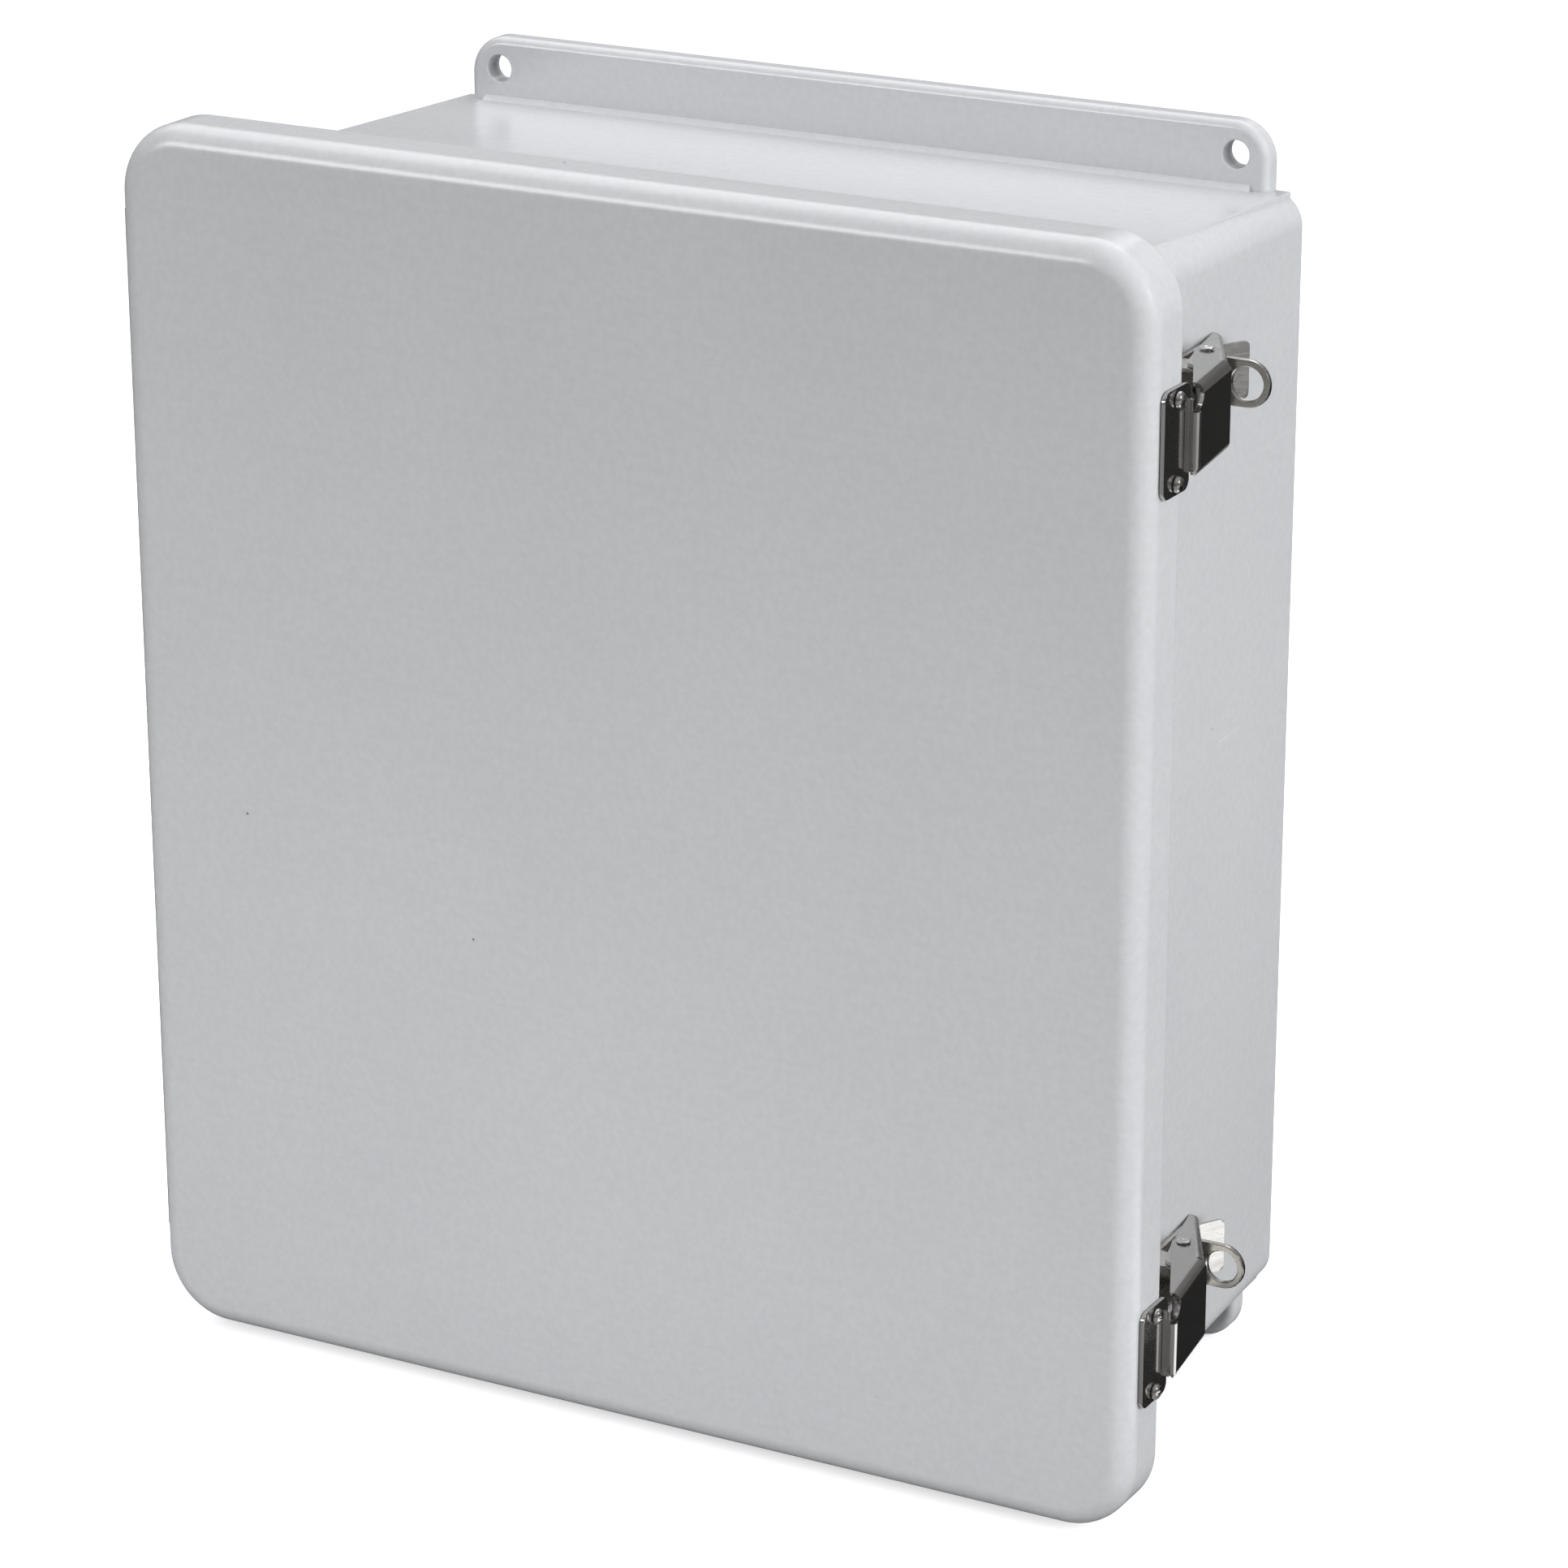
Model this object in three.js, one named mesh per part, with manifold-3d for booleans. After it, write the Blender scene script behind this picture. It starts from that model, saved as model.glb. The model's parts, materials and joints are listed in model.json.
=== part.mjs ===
// Wall-mounted hinged-cover enclosure, moulded in glass-fibre plastic, with two lockable toggle latches.
// Millimetres, +Z up. The origin is the centre of the flat back face. The cover faces -Y.
import * as THREE from 'three';
import { mergeVertices } from 'three/addons/utils/BufferGeometryUtils.js';
import Module from 'manifold-3d';

const wasm = await Module();
wasm.setup();

// ---- driving dimensions ----
const GAP = 0.3; // air left between pieces that touch on the real object
const DEPTH = 154.3; // cover front to back face

const COVER = { width: 339.8, height: 386.3, depth: 19.9, wall: 3.8, corner: 22, edge: 7 };

const BODY = {
  backWidth: 292.6, backHeight: 350.5, // outer size at the back face
  frontWidth: 303.0, frontHeight: 360.9, // outer size at the sealing edge
  corner: 10, wall: 3.8, backWall: 4,
  rimWidth: 330.8, rimHeight: 377.2, rimCorner: 18, rimThick: 5,
};
// The top and bottom walls stay flat out to here, so they step down to the rounded corners towards the back
const FLAT_HALF_WIDTH = 142;

const FLANGE = { width: 274.9, height: 391.9, thick: 7, corner: 12, edge: 2.5 };
const FLANGE_HOLE = { radius: 4.3, x: 127, z: 186 };
const LEDGE = { halfWidth: 132, depth: 2.4, rise: 2.3 }; // step at the root of each flange

const GASKET = { width: 10, thick: 4 };
const PANEL = {
  width: 276.4, height: 323.9, thick: 2, corner: 6,
  holeX: 127, holeZ: 150.8, holeRadius: 3,
  fieldWidth: 240, fieldHeight: 286, // clear area between the four screw heads, where equipment lies
};
const BOSS = { radius: 8, length: 10, bore: 4.3 };
const INSERT = { outer: 4, inner: 2.5, length: 9 };

const HINGE = {
  x: -172.3, behind: 21.9, // pin axis
  length: 330, knuckles: 11, knuckleGap: 0.5,
  outer: 2.3, bore: 1.45, pin: 1.1, sheet: 1.2,
  rivets: 5, rivetPitch: 75, coverRivetBehind: 12, bodyRivetX: -159.5,
  coverLeafFront: 6.5, coverLeafRear: 19.2, bodyLeafOuter: -169.4, bodyLeafInner: -152.6,
};
const RIVET_HOLE = 2; // radius

const LATCH_Z = 137; // height of each latch above and below the middle
const SHEET = 1.2;
const KEEPER = {
  front: 6, lipFront: 21.4, height: 30.6, corner: 3,
  lipHeight: 20.7, lipOuter: 172.6,
  screwBehind: 14, screwZ: 12, screwHole: 1.7,
};
const LEVER_PIVOT = { x: 160, behind: 54 };
const HOOK_PIVOT = { x: 157.5, behind: 63 };
const HOOK = {
  half: 13.2, ear: 1.0, earEnd: 3.6,
  outerX: 173.0, front: 23.3, bend: 25.2, rearX: 169.0, rear: 54.8, // front plate, seen from above
  foldFront: [172.8, 28.8], foldRear: [168.8, 54.8], // where the ears leave the front plate
  bead: { x: 172.9, behind: 22.6, outer: 1.6, inner: 0.6 }, // rolled edge that grips the keeper
  lowCut: -9.5, notchFrom: 6.8, notchRear: 28.4,
};
const LEVER = {
  half: 11.9, ear: 0.9, sheet: 1.0,
  slopeTop: [166.5, 58.7], slopeFoot: [151.6, 86.8], // outer ends of its sloping plate
  slot: { front: 75.2, rear: 84.6, half: 8.1 }, // passes the padlock eye
  tab: { end: [156.7, 94.6], half: 8.5, corner: 1.8 }, // finger tab, flared out from the foot
  pivotEnd: 4.0, hookEnd: 3.8, bend: 0.4,
};
const BASE = {
  half: 10.7, ear: 1.0, sheet: 1.5, front: 46, rear: 85.5, corner: 3, rivets: [49.5, 72],
  earFront: 48, earRear: 60, earEnd: 3.6,
};
const EYE = { x: 163, behind: 80, outer: 7.1, inner: 5, thick: 2 };
const LATCH_PIN = 1.5; // radius
const PIN_CLEARANCE = 0.15;
const PIN_HEAD = { radius: 2.2, high: 0.6 };

const OVERLAP = 0.4; // how far solids run into each other before they are joined
const ARC_STEPS = 3; // an arc is drawn in twice this many straight steps
const ROUND = 12; // segments round a small fastener
const PIN_STEPS = 16; // segments round a pin, its bore or a hinge knuckle
const HOLE_STEPS = 20; // segments round a mounting hole or boss

// Y of a point that lies a given distance behind the cover's front face
const behind = (distance) => distance - DEPTH;

// ---- materials ----
const finish = (color, roughness, metalness) =>
  new THREE.MeshStandardMaterial({ color, roughness, metalness });
const shellGrey = finish(0xb9bdc1, 0.45, 0);
const steel = finish(0xb4b2ad, 0.22, 1);
const hardSteel = finish(0xc9c6bf, 0.3, 1);
const foam = finish(0x2b2c2e, 0.9, 0);
const brass = finish(0xb99a52, 0.35, 1);
const panelWhite = finish(0xe8e9e6, 0.5, 0);

// ---- solids ----
function toSolid(geometry) {
  geometry.deleteAttribute('normal');
  geometry.deleteAttribute('uv');
  const merged = mergeVertices(geometry, 1e-4);
  const vertProperties = new Float32Array(merged.attributes.position.array);
  const triVerts = new Uint32Array(merged.index.array);
  return new wasm.Manifold(new wasm.Mesh({ numProp: 3, vertProperties, triVerts }));
}

function toGeometry(solid) {
  const mesh = solid.getMesh();
  const geometry = new THREE.BufferGeometry();
  geometry.setAttribute('position', new THREE.BufferAttribute(new Float32Array(mesh.vertProperties), 3));
  geometry.setIndex(new THREE.BufferAttribute(new Uint32Array(mesh.triVerts), 1));
  geometry.computeVertexNormals();
  return geometry;
}

const union = (solids) => solids.reduce((sum, next) => sum.add(next));
const cut = (solid, tools) => tools.reduce((rest, tool) => rest.subtract(tool), solid);

// ---- outlines ----
function roundedRect(width, height, radius) {
  const x = width / 2 - radius;
  const y = height / 2 - radius;
  const shape = new THREE.Shape();
  shape.absarc(x, y, radius, 0, Math.PI / 2);
  shape.absarc(-x, y, radius, Math.PI / 2, Math.PI);
  shape.absarc(-x, -y, radius, Math.PI, Math.PI * 1.5);
  shape.absarc(x, -y, radius, Math.PI * 1.5, Math.PI * 2);
  return shape;
}

const polygon = (points) => new THREE.Shape(points.map(([x, y]) => new THREE.Vector2(x, y)));

// Outline round a run of circles, each [x, y, radius], in anticlockwise order
function aroundCircles(circles) {
  const shape = new THREE.Shape();
  circles.forEach(([x, y, r], i) => {
    const [px, py, pr] = circles.at(i - 1);
    const [nx, ny, nr] = circles[(i + 1) % circles.length];
    const start = tangentAngle(x - px, y - py, pr - r);
    const end = tangentAngle(nx - x, ny - y, r - nr);
    shape.absarc(x, y, r, start, end < start ? end + Math.PI * 2 : end);
  });
  return shape;
}

// Direction from a circle's centre to the outer tangent that leads along (dx, dy) with the solid on its left
function tangentAngle(dx, dy, radiusDrop) {
  return Math.atan2(dy, dx) - Math.acos(radiusDrop / Math.hypot(dx, dy));
}

// ---- extrusions along each axis ----
const extrude = (shape, depth, options = {}) =>
  new THREE.ExtrudeGeometry(shape, { depth, bevelEnabled: false, curveSegments: ARC_STEPS, ...options });

// Plan outline (x, distance behind the front) raised from zLow to zHigh
function alongZ(shape, zLow, zHigh) {
  return toSolid(extrude(shape, zHigh - zLow).translate(0, behind(0), zLow));
}

// Front outline (x, z) running forwards from yBack to yFront
function alongY(shape, yBack, yFront) {
  return toSolid(extrude(shape, yBack - yFront).rotateX(Math.PI / 2).translate(0, yBack, 0));
}

// Side outline (y, z) running from xLow to xHigh
function alongX(shape, xLow, xHigh) {
  const turn = new THREE.Matrix4().makeBasis(
    new THREE.Vector3(0, 1, 0), new THREE.Vector3(0, 0, 1), new THREE.Vector3(1, 0, 0));
  return toSolid(extrude(shape, xHigh - xLow).applyMatrix4(turn).translate(xLow, 0, 0));
}

function box(xLow, xHigh, yLow, yHigh, zLow, zHigh) {
  const geometry = new THREE.BoxGeometry(xHigh - xLow, yHigh - yLow, zHigh - zLow);
  return toSolid(geometry.translate((xLow + xHigh) / 2, (yLow + yHigh) / 2, (zLow + zHigh) / 2));
}

// Plain round bar between two heights on a vertical axis
function barZ(x, y, radius, zLow, zHigh, steps = ROUND) {
  const geometry = new THREE.CylinderGeometry(radius, radius, zHigh - zLow, steps);
  return toSolid(geometry.rotateX(Math.PI / 2).translate(x, y, (zLow + zHigh) / 2));
}

function barY(x, z, radius, yLow, yHigh, steps = ROUND) {
  const geometry = new THREE.CylinderGeometry(radius, radius, yHigh - yLow, steps);
  return toSolid(geometry.translate(x, (yLow + yHigh) / 2, z));
}

function barX(y, z, radius, xLow, xHigh, steps = ROUND) {
  const geometry = new THREE.CylinderGeometry(radius, radius, xHigh - xLow, steps);
  return toSolid(geometry.rotateZ(Math.PI / 2).translate((xLow + xHigh) / 2, y, z));
}

// Rounded-rectangle block that widens evenly from the back face towards the front
function taperedBlock(back, front, corner, yBack, yFront) {
  const geometry = extrude(roundedRect(back[0], back[1], corner), yBack - yFront).rotateX(Math.PI / 2);
  const position = geometry.attributes.position;
  for (let i = 0; i < position.count; i++) {
    const along = -position.getY(i) / (yBack - yFront);
    position.setX(i, position.getX(i) * THREE.MathUtils.lerp(1, front[0] / back[0], along));
    position.setZ(i, position.getZ(i) * THREE.MathUtils.lerp(1, front[1] / back[1], along));
  }
  return toSolid(geometry.translate(0, yBack, 0));
}

// ---- enclosure body ----
const SEAL_Y = behind(COVER.wall + GASKET.thick + 2 * GAP); // sealing edge of the body
const RIM_BACK_Y = behind(COVER.depth - 0.1);
const BODY_LEAF_Y = RIM_BACK_Y + GAP + 0.1; // front face of the hinge leaf behind the rim

// Half width of the body's outside at a distance behind the front
function wallX(distance) {
  const along = behind(distance) / SEAL_Y;
  return THREE.MathUtils.lerp(BODY.backWidth, BODY.frontWidth, along) / 2;
}

const panelHoles = [-1, 1].flatMap((sx) => [-1, 1].map((sz) => [sx * PANEL.holeX, sz * PANEL.holeZ]));
const flangeHoles = [-1, 1].flatMap((sx) => [-1, 1].map((sz) => [sx * FLANGE_HOLE.x, sz * FLANGE_HOLE.z]));
const latchRivetHoles = [-1, 1].flatMap((side) => BASE.rivets.map((at) => [behind(at), side * LATCH_Z]));
const hingeRivetZ = Array.from(
  { length: HINGE.rivets }, (_, i) => (i - (HINGE.rivets - 1) / 2) * HINGE.rivetPitch);

function makeBody() {
  const outside = taperedBlock(
    [BODY.backWidth, BODY.backHeight], [BODY.frontWidth, BODY.frontHeight], BODY.corner, 0, SEAL_Y);
  const flatSide = polygon([
    [SEAL_Y, BODY.frontHeight / 2], [SEAL_Y, -BODY.frontHeight / 2],
    [0, -BODY.backHeight / 2], [0, BODY.backHeight / 2],
  ]);
  const flats = alongX(flatSide, -FLAT_HALF_WIDTH, FLAT_HALF_WIDTH);
  const rim = alongY(
    roundedRect(BODY.rimWidth, BODY.rimHeight, BODY.rimCorner), RIM_BACK_Y, RIM_BACK_Y - BODY.rimThick);
  const ledgeHeight = BODY.backHeight + 2 * LEDGE.rise;
  const ledge = alongY(
    roundedRect(2 * LEDGE.halfWidth, ledgeHeight, 1), -FLANGE.thick + 0.5, -FLANGE.thick - LEDGE.depth);
  const wall = 2 * BODY.wall;
  const cavityBack = [BODY.backWidth - wall, BODY.backHeight - wall];
  const cavityFront = [BODY.frontWidth - wall, BODY.frontHeight - wall];
  const cavity = taperedBlock(
    cavityBack, cavityFront, BODY.corner - BODY.wall, -BODY.backWall, SEAL_Y - 0.01);
  const bosses = panelHoles.map(([x, z]) =>
    barY(x, z, BOSS.radius, -BODY.backWall - BOSS.length, -BODY.backWall + 1, HOLE_STEPS));
  const shell = union([cut(union([outside, flats, rim, flangePlate(), ledge]), [cavity]), ...bosses]);
  const tools = [
    ...panelHoles.map(([x, z]) => barY(
      x, z, BOSS.bore, -BODY.backWall - BOSS.length - 1, -BODY.backWall - GAP, HOLE_STEPS)),
    ...flangeHoles.map(([x, z]) => barY(x, z, FLANGE_HOLE.radius, -FLANGE.thick - 1, 1, HOLE_STEPS)),
    ...latchRivetHoles.map(([y, z]) => barX(y, z, RIVET_HOLE, 0, COVER.width)),
    ...hingeRivetZ.map((z) => barY(
      HINGE.bodyRivetX, z, RIVET_HOLE, RIM_BACK_Y - BODY.rimThick - 1, RIM_BACK_Y + 1)),
  ];
  return cut(shell, tools);
}

// Back plate whose top and bottom ends are the mounting flanges, with its front edges rounded
function flangePlate() {
  const straight = FLANGE.thick - FLANGE.edge;
  const geometry = extrude(roundedRect(FLANGE.width, FLANGE.height, FLANGE.corner), straight, {
    bevelEnabled: true, bevelSegments: 3,
    bevelThickness: FLANGE.edge, bevelSize: FLANGE.edge, bevelOffset: -FLANGE.edge,
  });
  const rounded = toSolid(geometry.rotateX(Math.PI / 2));
  const half = FLANGE.height / 2 + 1;
  return rounded.intersect(box(-half, half, -FLANGE.thick - 1, 0, -half, half));
}

// ---- cover ----
function makeCover() {
  const straight = COVER.depth;
  const geometry = extrude(roundedRect(COVER.width, COVER.height, COVER.corner), straight, {
    bevelEnabled: true, bevelSegments: 5,
    bevelThickness: COVER.edge, bevelSize: COVER.edge, bevelOffset: -COVER.edge,
  });
  const rounded = toSolid(geometry.rotateX(Math.PI / 2).translate(0, behind(COVER.depth + COVER.edge), 0));
  const half = COVER.height / 2 + 1;
  const outside = rounded.intersect(box(-half, half, behind(-1), behind(COVER.depth), -half, half));
  const inside = alongY(
    roundedRect(COVER.width - 2 * COVER.wall, COVER.height - 2 * COVER.wall, COVER.corner - COVER.wall),
    behind(COVER.depth + 1), behind(COVER.wall));
  const keeperHoles = [-1, 1].flatMap((side) => [-1, 1].map((up) => barX(
    behind(KEEPER.screwBehind), side * LATCH_Z + up * KEEPER.screwZ, KEEPER.screwHole, 0, COVER.width)));
  const hingeHoles = hingeRivetZ.map((z) => barX(
    behind(HINGE.coverRivetBehind), z, RIVET_HOLE, -COVER.width, 0));
  return cut(outside, [inside, ...keeperHoles, ...hingeHoles]);
}

function makeGasket() {
  const middleWidth = BODY.frontWidth - BODY.wall;
  const middleHeight = BODY.frontHeight - BODY.wall;
  const yFront = behind(COVER.wall + GAP);
  const ring = (grow, corner, extra) => alongY(
    roundedRect(middleWidth + grow, middleHeight + grow, corner),
    yFront + GASKET.thick + extra, yFront - extra);
  return ring(GASKET.width, BODY.corner + 3, 0).subtract(ring(-GASKET.width, BODY.corner - 7, 1));
}

// ---- hinge ----
// One leaf of the full-length hinge: its own knuckles on a sheet that is notched for the other leaf's
function hingeLeaf(sheet, strap, ownParity) {
  const y = behind(HINGE.behind);
  const pitch = HINGE.length / HINGE.knuckles;
  const rings = [];
  for (let i = 0; i < HINGE.knuckles; i++) {
    if (i % 2 !== ownParity) continue;
    const low = -HINGE.length / 2 + i * pitch + HINGE.knuckleGap / 2;
    const high = low + pitch - HINGE.knuckleGap;
    rings.push(barZ(HINGE.x, y, HINGE.outer, low, high, PIN_STEPS), strap(low, high));
  }
  const bore = barZ(HINGE.x, y, HINGE.bore, -HINGE.length, HINGE.length, PIN_STEPS);
  return cut(union([sheet, ...rings]), [bore]);
}

function makeCoverLeaf() {
  const xHigh = -COVER.width / 2 - GAP;
  const xLow = xHigh - HINGE.sheet;
  const half = HINGE.length / 2;
  const sheet = box(xLow, xHigh, behind(HINGE.coverLeafFront), behind(HINGE.coverLeafRear), -half, half);
  const holes = hingeRivetZ.map((z) => barX(
    behind(HINGE.coverRivetBehind), z, RIVET_HOLE, -COVER.width, 0));
  const strap = (low, high) => box(
    xLow, xHigh, behind(HINGE.coverLeafRear - OVERLAP), behind(HINGE.behind), low, high);
  return cut(hingeLeaf(sheet, strap, 0), holes);
}

function makeBodyLeaf() {
  const yLow = BODY_LEAF_Y;
  const yHigh = yLow + HINGE.sheet;
  const half = HINGE.length / 2;
  const sheet = box(HINGE.bodyLeafOuter, HINGE.bodyLeafInner, yLow, yHigh, -half, half);
  const holes = hingeRivetZ.map((z) => barY(HINGE.bodyRivetX, z, RIVET_HOLE, yLow - 1, yHigh + 1));
  const strap = (low, high) => box(HINGE.x, HINGE.bodyLeafOuter + OVERLAP, yLow, yHigh, low, high);
  return cut(hingeLeaf(sheet, strap, 1), holes);
}

// ---- fasteners ----
// Domed rivet or screw turned about +Z: head above z = 0, shank below, upset tail or plain end
function fastenerGeometry({ head, headHigh, shank, grip, tail, tailHigh }) {
  const profile = [
    [0, headHigh], [head * 0.6, headHigh * 0.85], [head, 0.25 * headHigh], [head, 0], [shank, 0],
  ];
  if (tail) {
    profile.push([shank, -grip], [tail, -grip], [tail, -grip - tailHigh], [0, -grip - tailHigh]);
  } else {
    profile.push([shank, -grip], [0, -grip]);
  }
  const points = profile.reverse().map(([r, y]) => new THREE.Vector2(r, y));
  return new THREE.LatheGeometry(points, ROUND).rotateX(Math.PI / 2);
}

const RIVET = { head: 3, headHigh: 1.4, shank: 1.6, tail: 2.7, tailHigh: 1.6 };
const PAN_SCREW = { head: 2.4, headHigh: 1.9, shank: 1.35, grip: 5 };
const PANEL_SCREW = { head: 4.6, headHigh: 2.6, shank: 2.1, grip: 9 };

// ---- latch, drawn at height 0 ----
const earPair = (shape, half, thick) => [
  alongZ(shape, half - thick, half), alongZ(shape, -half, thick - half),
];
const pivotHole = (pivot) => barZ(
  pivot.x, behind(pivot.behind), LATCH_PIN + PIN_CLEARANCE, -2 * HOOK.half, 2 * HOOK.half, PIN_STEPS);

function makeKeeper() {
  const xLow = COVER.width / 2 + GAP;
  const rear = KEEPER.lipFront + SHEET;
  const width = rear - KEEPER.front;
  const outline = roundedRect(width, KEEPER.height, KEEPER.corner);
  const plate = alongX(outline, xLow, xLow + SHEET).translate([0, behind(KEEPER.front + width / 2), 0]);
  const lipHalf = KEEPER.lipHeight / 2;
  const lip = box(xLow, KEEPER.lipOuter, behind(KEEPER.lipFront), behind(rear), -lipHalf, lipHalf);
  const holes = [-1, 1].map((up) => barX(
    behind(KEEPER.screwBehind), up * KEEPER.screwZ, KEEPER.screwHole, xLow - 1, xLow + SHEET + 1));
  return cut(plate.add(lip), holes);
}

function makeHook() {
  const { outerX, front, bend, rearX, rear, bead, half } = HOOK;
  const plan = polygon([
    [outerX - SHEET, front], [outerX, front], [outerX, bend],
    [rearX, rear], [rearX - SHEET, rear], [outerX - SHEET, bend],
  ]);
  const plate = alongZ(plan, -half, half);
  const cornerCut = box(0, COVER.width, behind(0), behind(bend), -half - 1, HOOK.lowCut);
  const notch = box(0, COVER.width, behind(0), behind(HOOK.notchRear), HOOK.notchFrom, half + 1);
  const rolled = new THREE.Shape();
  rolled.absarc(bead.x, bead.behind, bead.outer, -Math.PI / 2, Math.PI / 2);
  rolled.absarc(bead.x, bead.behind, bead.inner, Math.PI / 2, -Math.PI / 2, true);
  const roll = alongZ(rolled, HOOK.lowCut, HOOK.notchFrom);
  const ear = earWithRoundEnd(HOOK.foldFront, HOOK.foldRear, HOOK_PIVOT, HOOK.earEnd);
  const shell = union([cut(plate, [cornerCut, notch]), roll, ...earPair(ear, half, HOOK.ear)]);
  return cut(shell, [pivotHole(HOOK_PIVOT)]);
}

// Flat ear that runs from a straight fold to a round end about a pivot
function earWithRoundEnd(foldFront, foldRear, pivot, radius) {
  const tiny = 0.2;
  return aroundCircles([
    [foldFront[0] - tiny, foldFront[1] + tiny, tiny], [foldRear[0] - tiny, foldRear[1] - tiny, tiny],
    [pivot.x, pivot.behind, radius],
  ]);
}

function makeLever() {
  const { slopeTop, slopeFoot, slot, tab, bend } = LEVER;
  const lean = new THREE.Vector2(slopeFoot[0] - slopeTop[0], slopeFoot[1] - slopeTop[1]).normalize();
  const inward = [-lean.y * LEVER.sheet, lean.x * LEVER.sheet];
  const shifted = (point) => [point[0] + inward[0], point[1] + inward[1]];
  const plan = polygon([slopeTop, slopeFoot, shifted(slopeFoot), shifted(slopeTop)]);
  const plate = alongZ(plan, -LEVER.half, LEVER.half);
  const flare = new THREE.Vector2(tab.end[0] - slopeFoot[0], tab.end[1] - slopeFoot[1]).normalize();
  const rearward = (point) => [point[0] - flare.y * LEVER.sheet, point[1] + flare.x * LEVER.sheet];
  const root = [slopeFoot[0] - 0.6 * lean.x + 0.3 * inward[0], slopeFoot[1] - 0.6 * lean.y + 0.3 * inward[1]];
  const tabPlan = polygon([root, tab.end, rearward(tab.end), rearward(root)]);
  const tabSpan = 2 * (tab.end[0] - slopeFoot[0]) + 4;
  const tabOutline = alongY(roundedRect(tabSpan, 2 * tab.half, tab.corner), 0, behind(0))
    .translate([tab.end[0] - tabSpan / 2, 0, 0]);
  const finger = alongZ(tabPlan, -tab.half, tab.half).intersect(tabOutline);
  const ear = aroundCircles([
    [LEVER_PIVOT.x, LEVER_PIVOT.behind, LEVER.pivotEnd], [slopeTop[0] - 0.5, slopeTop[1] + 0.3, bend],
    [slopeFoot[0] - 0.6, slopeFoot[1] - 0.5, bend], [HOOK_PIVOT.x, HOOK_PIVOT.behind, LEVER.hookEnd],
  ]);
  const slotTool = box(0, COVER.width, behind(slot.front), behind(slot.rear), -slot.half, slot.half);
  const shell = union([cut(plate, [slotTool]), finger, ...earPair(ear, LEVER.half, LEVER.ear)]);
  return cut(shell, [pivotHole(LEVER_PIVOT), pivotHole(HOOK_PIVOT)]);
}

function makeBase() {
  const inner = (at) => wallX(at) + GAP;
  const outer = (at) => inner(at) + BASE.sheet;
  const plan = polygon([
    [inner(BASE.front), BASE.front], [outer(BASE.front), BASE.front],
    [outer(BASE.rear), BASE.rear], [inner(BASE.rear), BASE.rear],
  ]);
  const length = BASE.rear - BASE.front;
  const outline = alongX(roundedRect(length, 2 * BASE.half, BASE.corner), 0, COVER.width)
    .translate([0, behind(BASE.front + length / 2), 0]);
  const plate = alongZ(plan, -BASE.half, BASE.half).intersect(outline);
  const foot = inner(LEVER_PIVOT.behind) + BASE.sheet / 2;
  const ear = aroundCircles([
    [foot, BASE.earFront, OVERLAP], [LEVER_PIVOT.x, LEVER_PIVOT.behind, BASE.earEnd],
    [foot, BASE.earRear, OVERLAP],
  ]);
  const eyeShape = new THREE.Shape();
  eyeShape.moveTo(inner(EYE.behind) + OVERLAP, -EYE.outer);
  eyeShape.absarc(EYE.x, 0, EYE.outer, -Math.PI / 2, Math.PI / 2);
  eyeShape.lineTo(inner(EYE.behind) + OVERLAP, EYE.outer);
  const eye = alongY(eyeShape, behind(EYE.behind + EYE.thick / 2), behind(EYE.behind - EYE.thick / 2));
  const eyeHole = barY(
    EYE.x, 0, EYE.inner, behind(EYE.behind - EYE.thick), behind(EYE.behind + EYE.thick), HOLE_STEPS);
  const rivetHoles = BASE.rivets.map((at) => barX(behind(at), 0, RIVET_HOLE, 0, outer(at) + 1));
  const tools = [eyeHole, pivotHole(LEVER_PIVOT), ...rivetHoles];
  return cut(union([plate, ...earPair(ear, BASE.half, BASE.ear), eye]), tools);
}

function makePin(pivot, half) {
  return barZ(pivot.x, behind(pivot.behind), LATCH_PIN, -half, half, PIN_STEPS);
}

// Pin through the hook, with a flat head outside each ear
function makeHeadedPin(pivot, half) {
  const y = behind(pivot.behind);
  const { radius, high } = PIN_HEAD;
  const top = barZ(pivot.x, y, radius, half, half + high, PIN_STEPS);
  const bottom = barZ(pivot.x, y, radius, -half - high, -half, PIN_STEPS);
  return union([makePin(pivot, half), top, bottom]);
}

// ---- inside ----
function makePanel() {
  const back = -BODY.backWall - BOSS.length - GAP;
  const front = back - PANEL.thick;
  const halfWidth = PANEL.fieldWidth / 2;
  const halfHeight = PANEL.fieldHeight / 2;
  const fieldOutline = polygon([
    [-halfWidth, -halfHeight], [halfWidth, -halfHeight], [halfWidth, halfHeight], [-halfWidth, halfHeight],
  ]);
  const sheet = alongY(roundedRect(PANEL.width, PANEL.height, PANEL.corner), back, front);
  const window = alongY(fieldOutline, back + 1, front - 1);
  const holes = panelHoles.map(([x, z]) => barY(x, z, PANEL.holeRadius, front - 1, back + 1));
  return cut(sheet, [window, ...holes]).add(alongY(fieldOutline, back, front));
}

function insertGeometry() {
  const { outer, inner, length } = INSERT;
  const ring = [[inner, 0], [outer, 0], [outer, length], [inner, length], [inner, 0]];
  return new THREE.LatheGeometry(ring.map(([r, y]) => new THREE.Vector2(r, y)), ROUND);
}

// ---- assembly ----
const group = new THREE.Group();

function place(name, geometry, material, position = [0, 0, 0], rotation = [0, 0, 0]) {
  const mesh = new THREE.Mesh(geometry, material);
  mesh.name = name;
  mesh.position.set(...position);
  mesh.rotation.set(...rotation);
  group.add(mesh);
}

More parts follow.
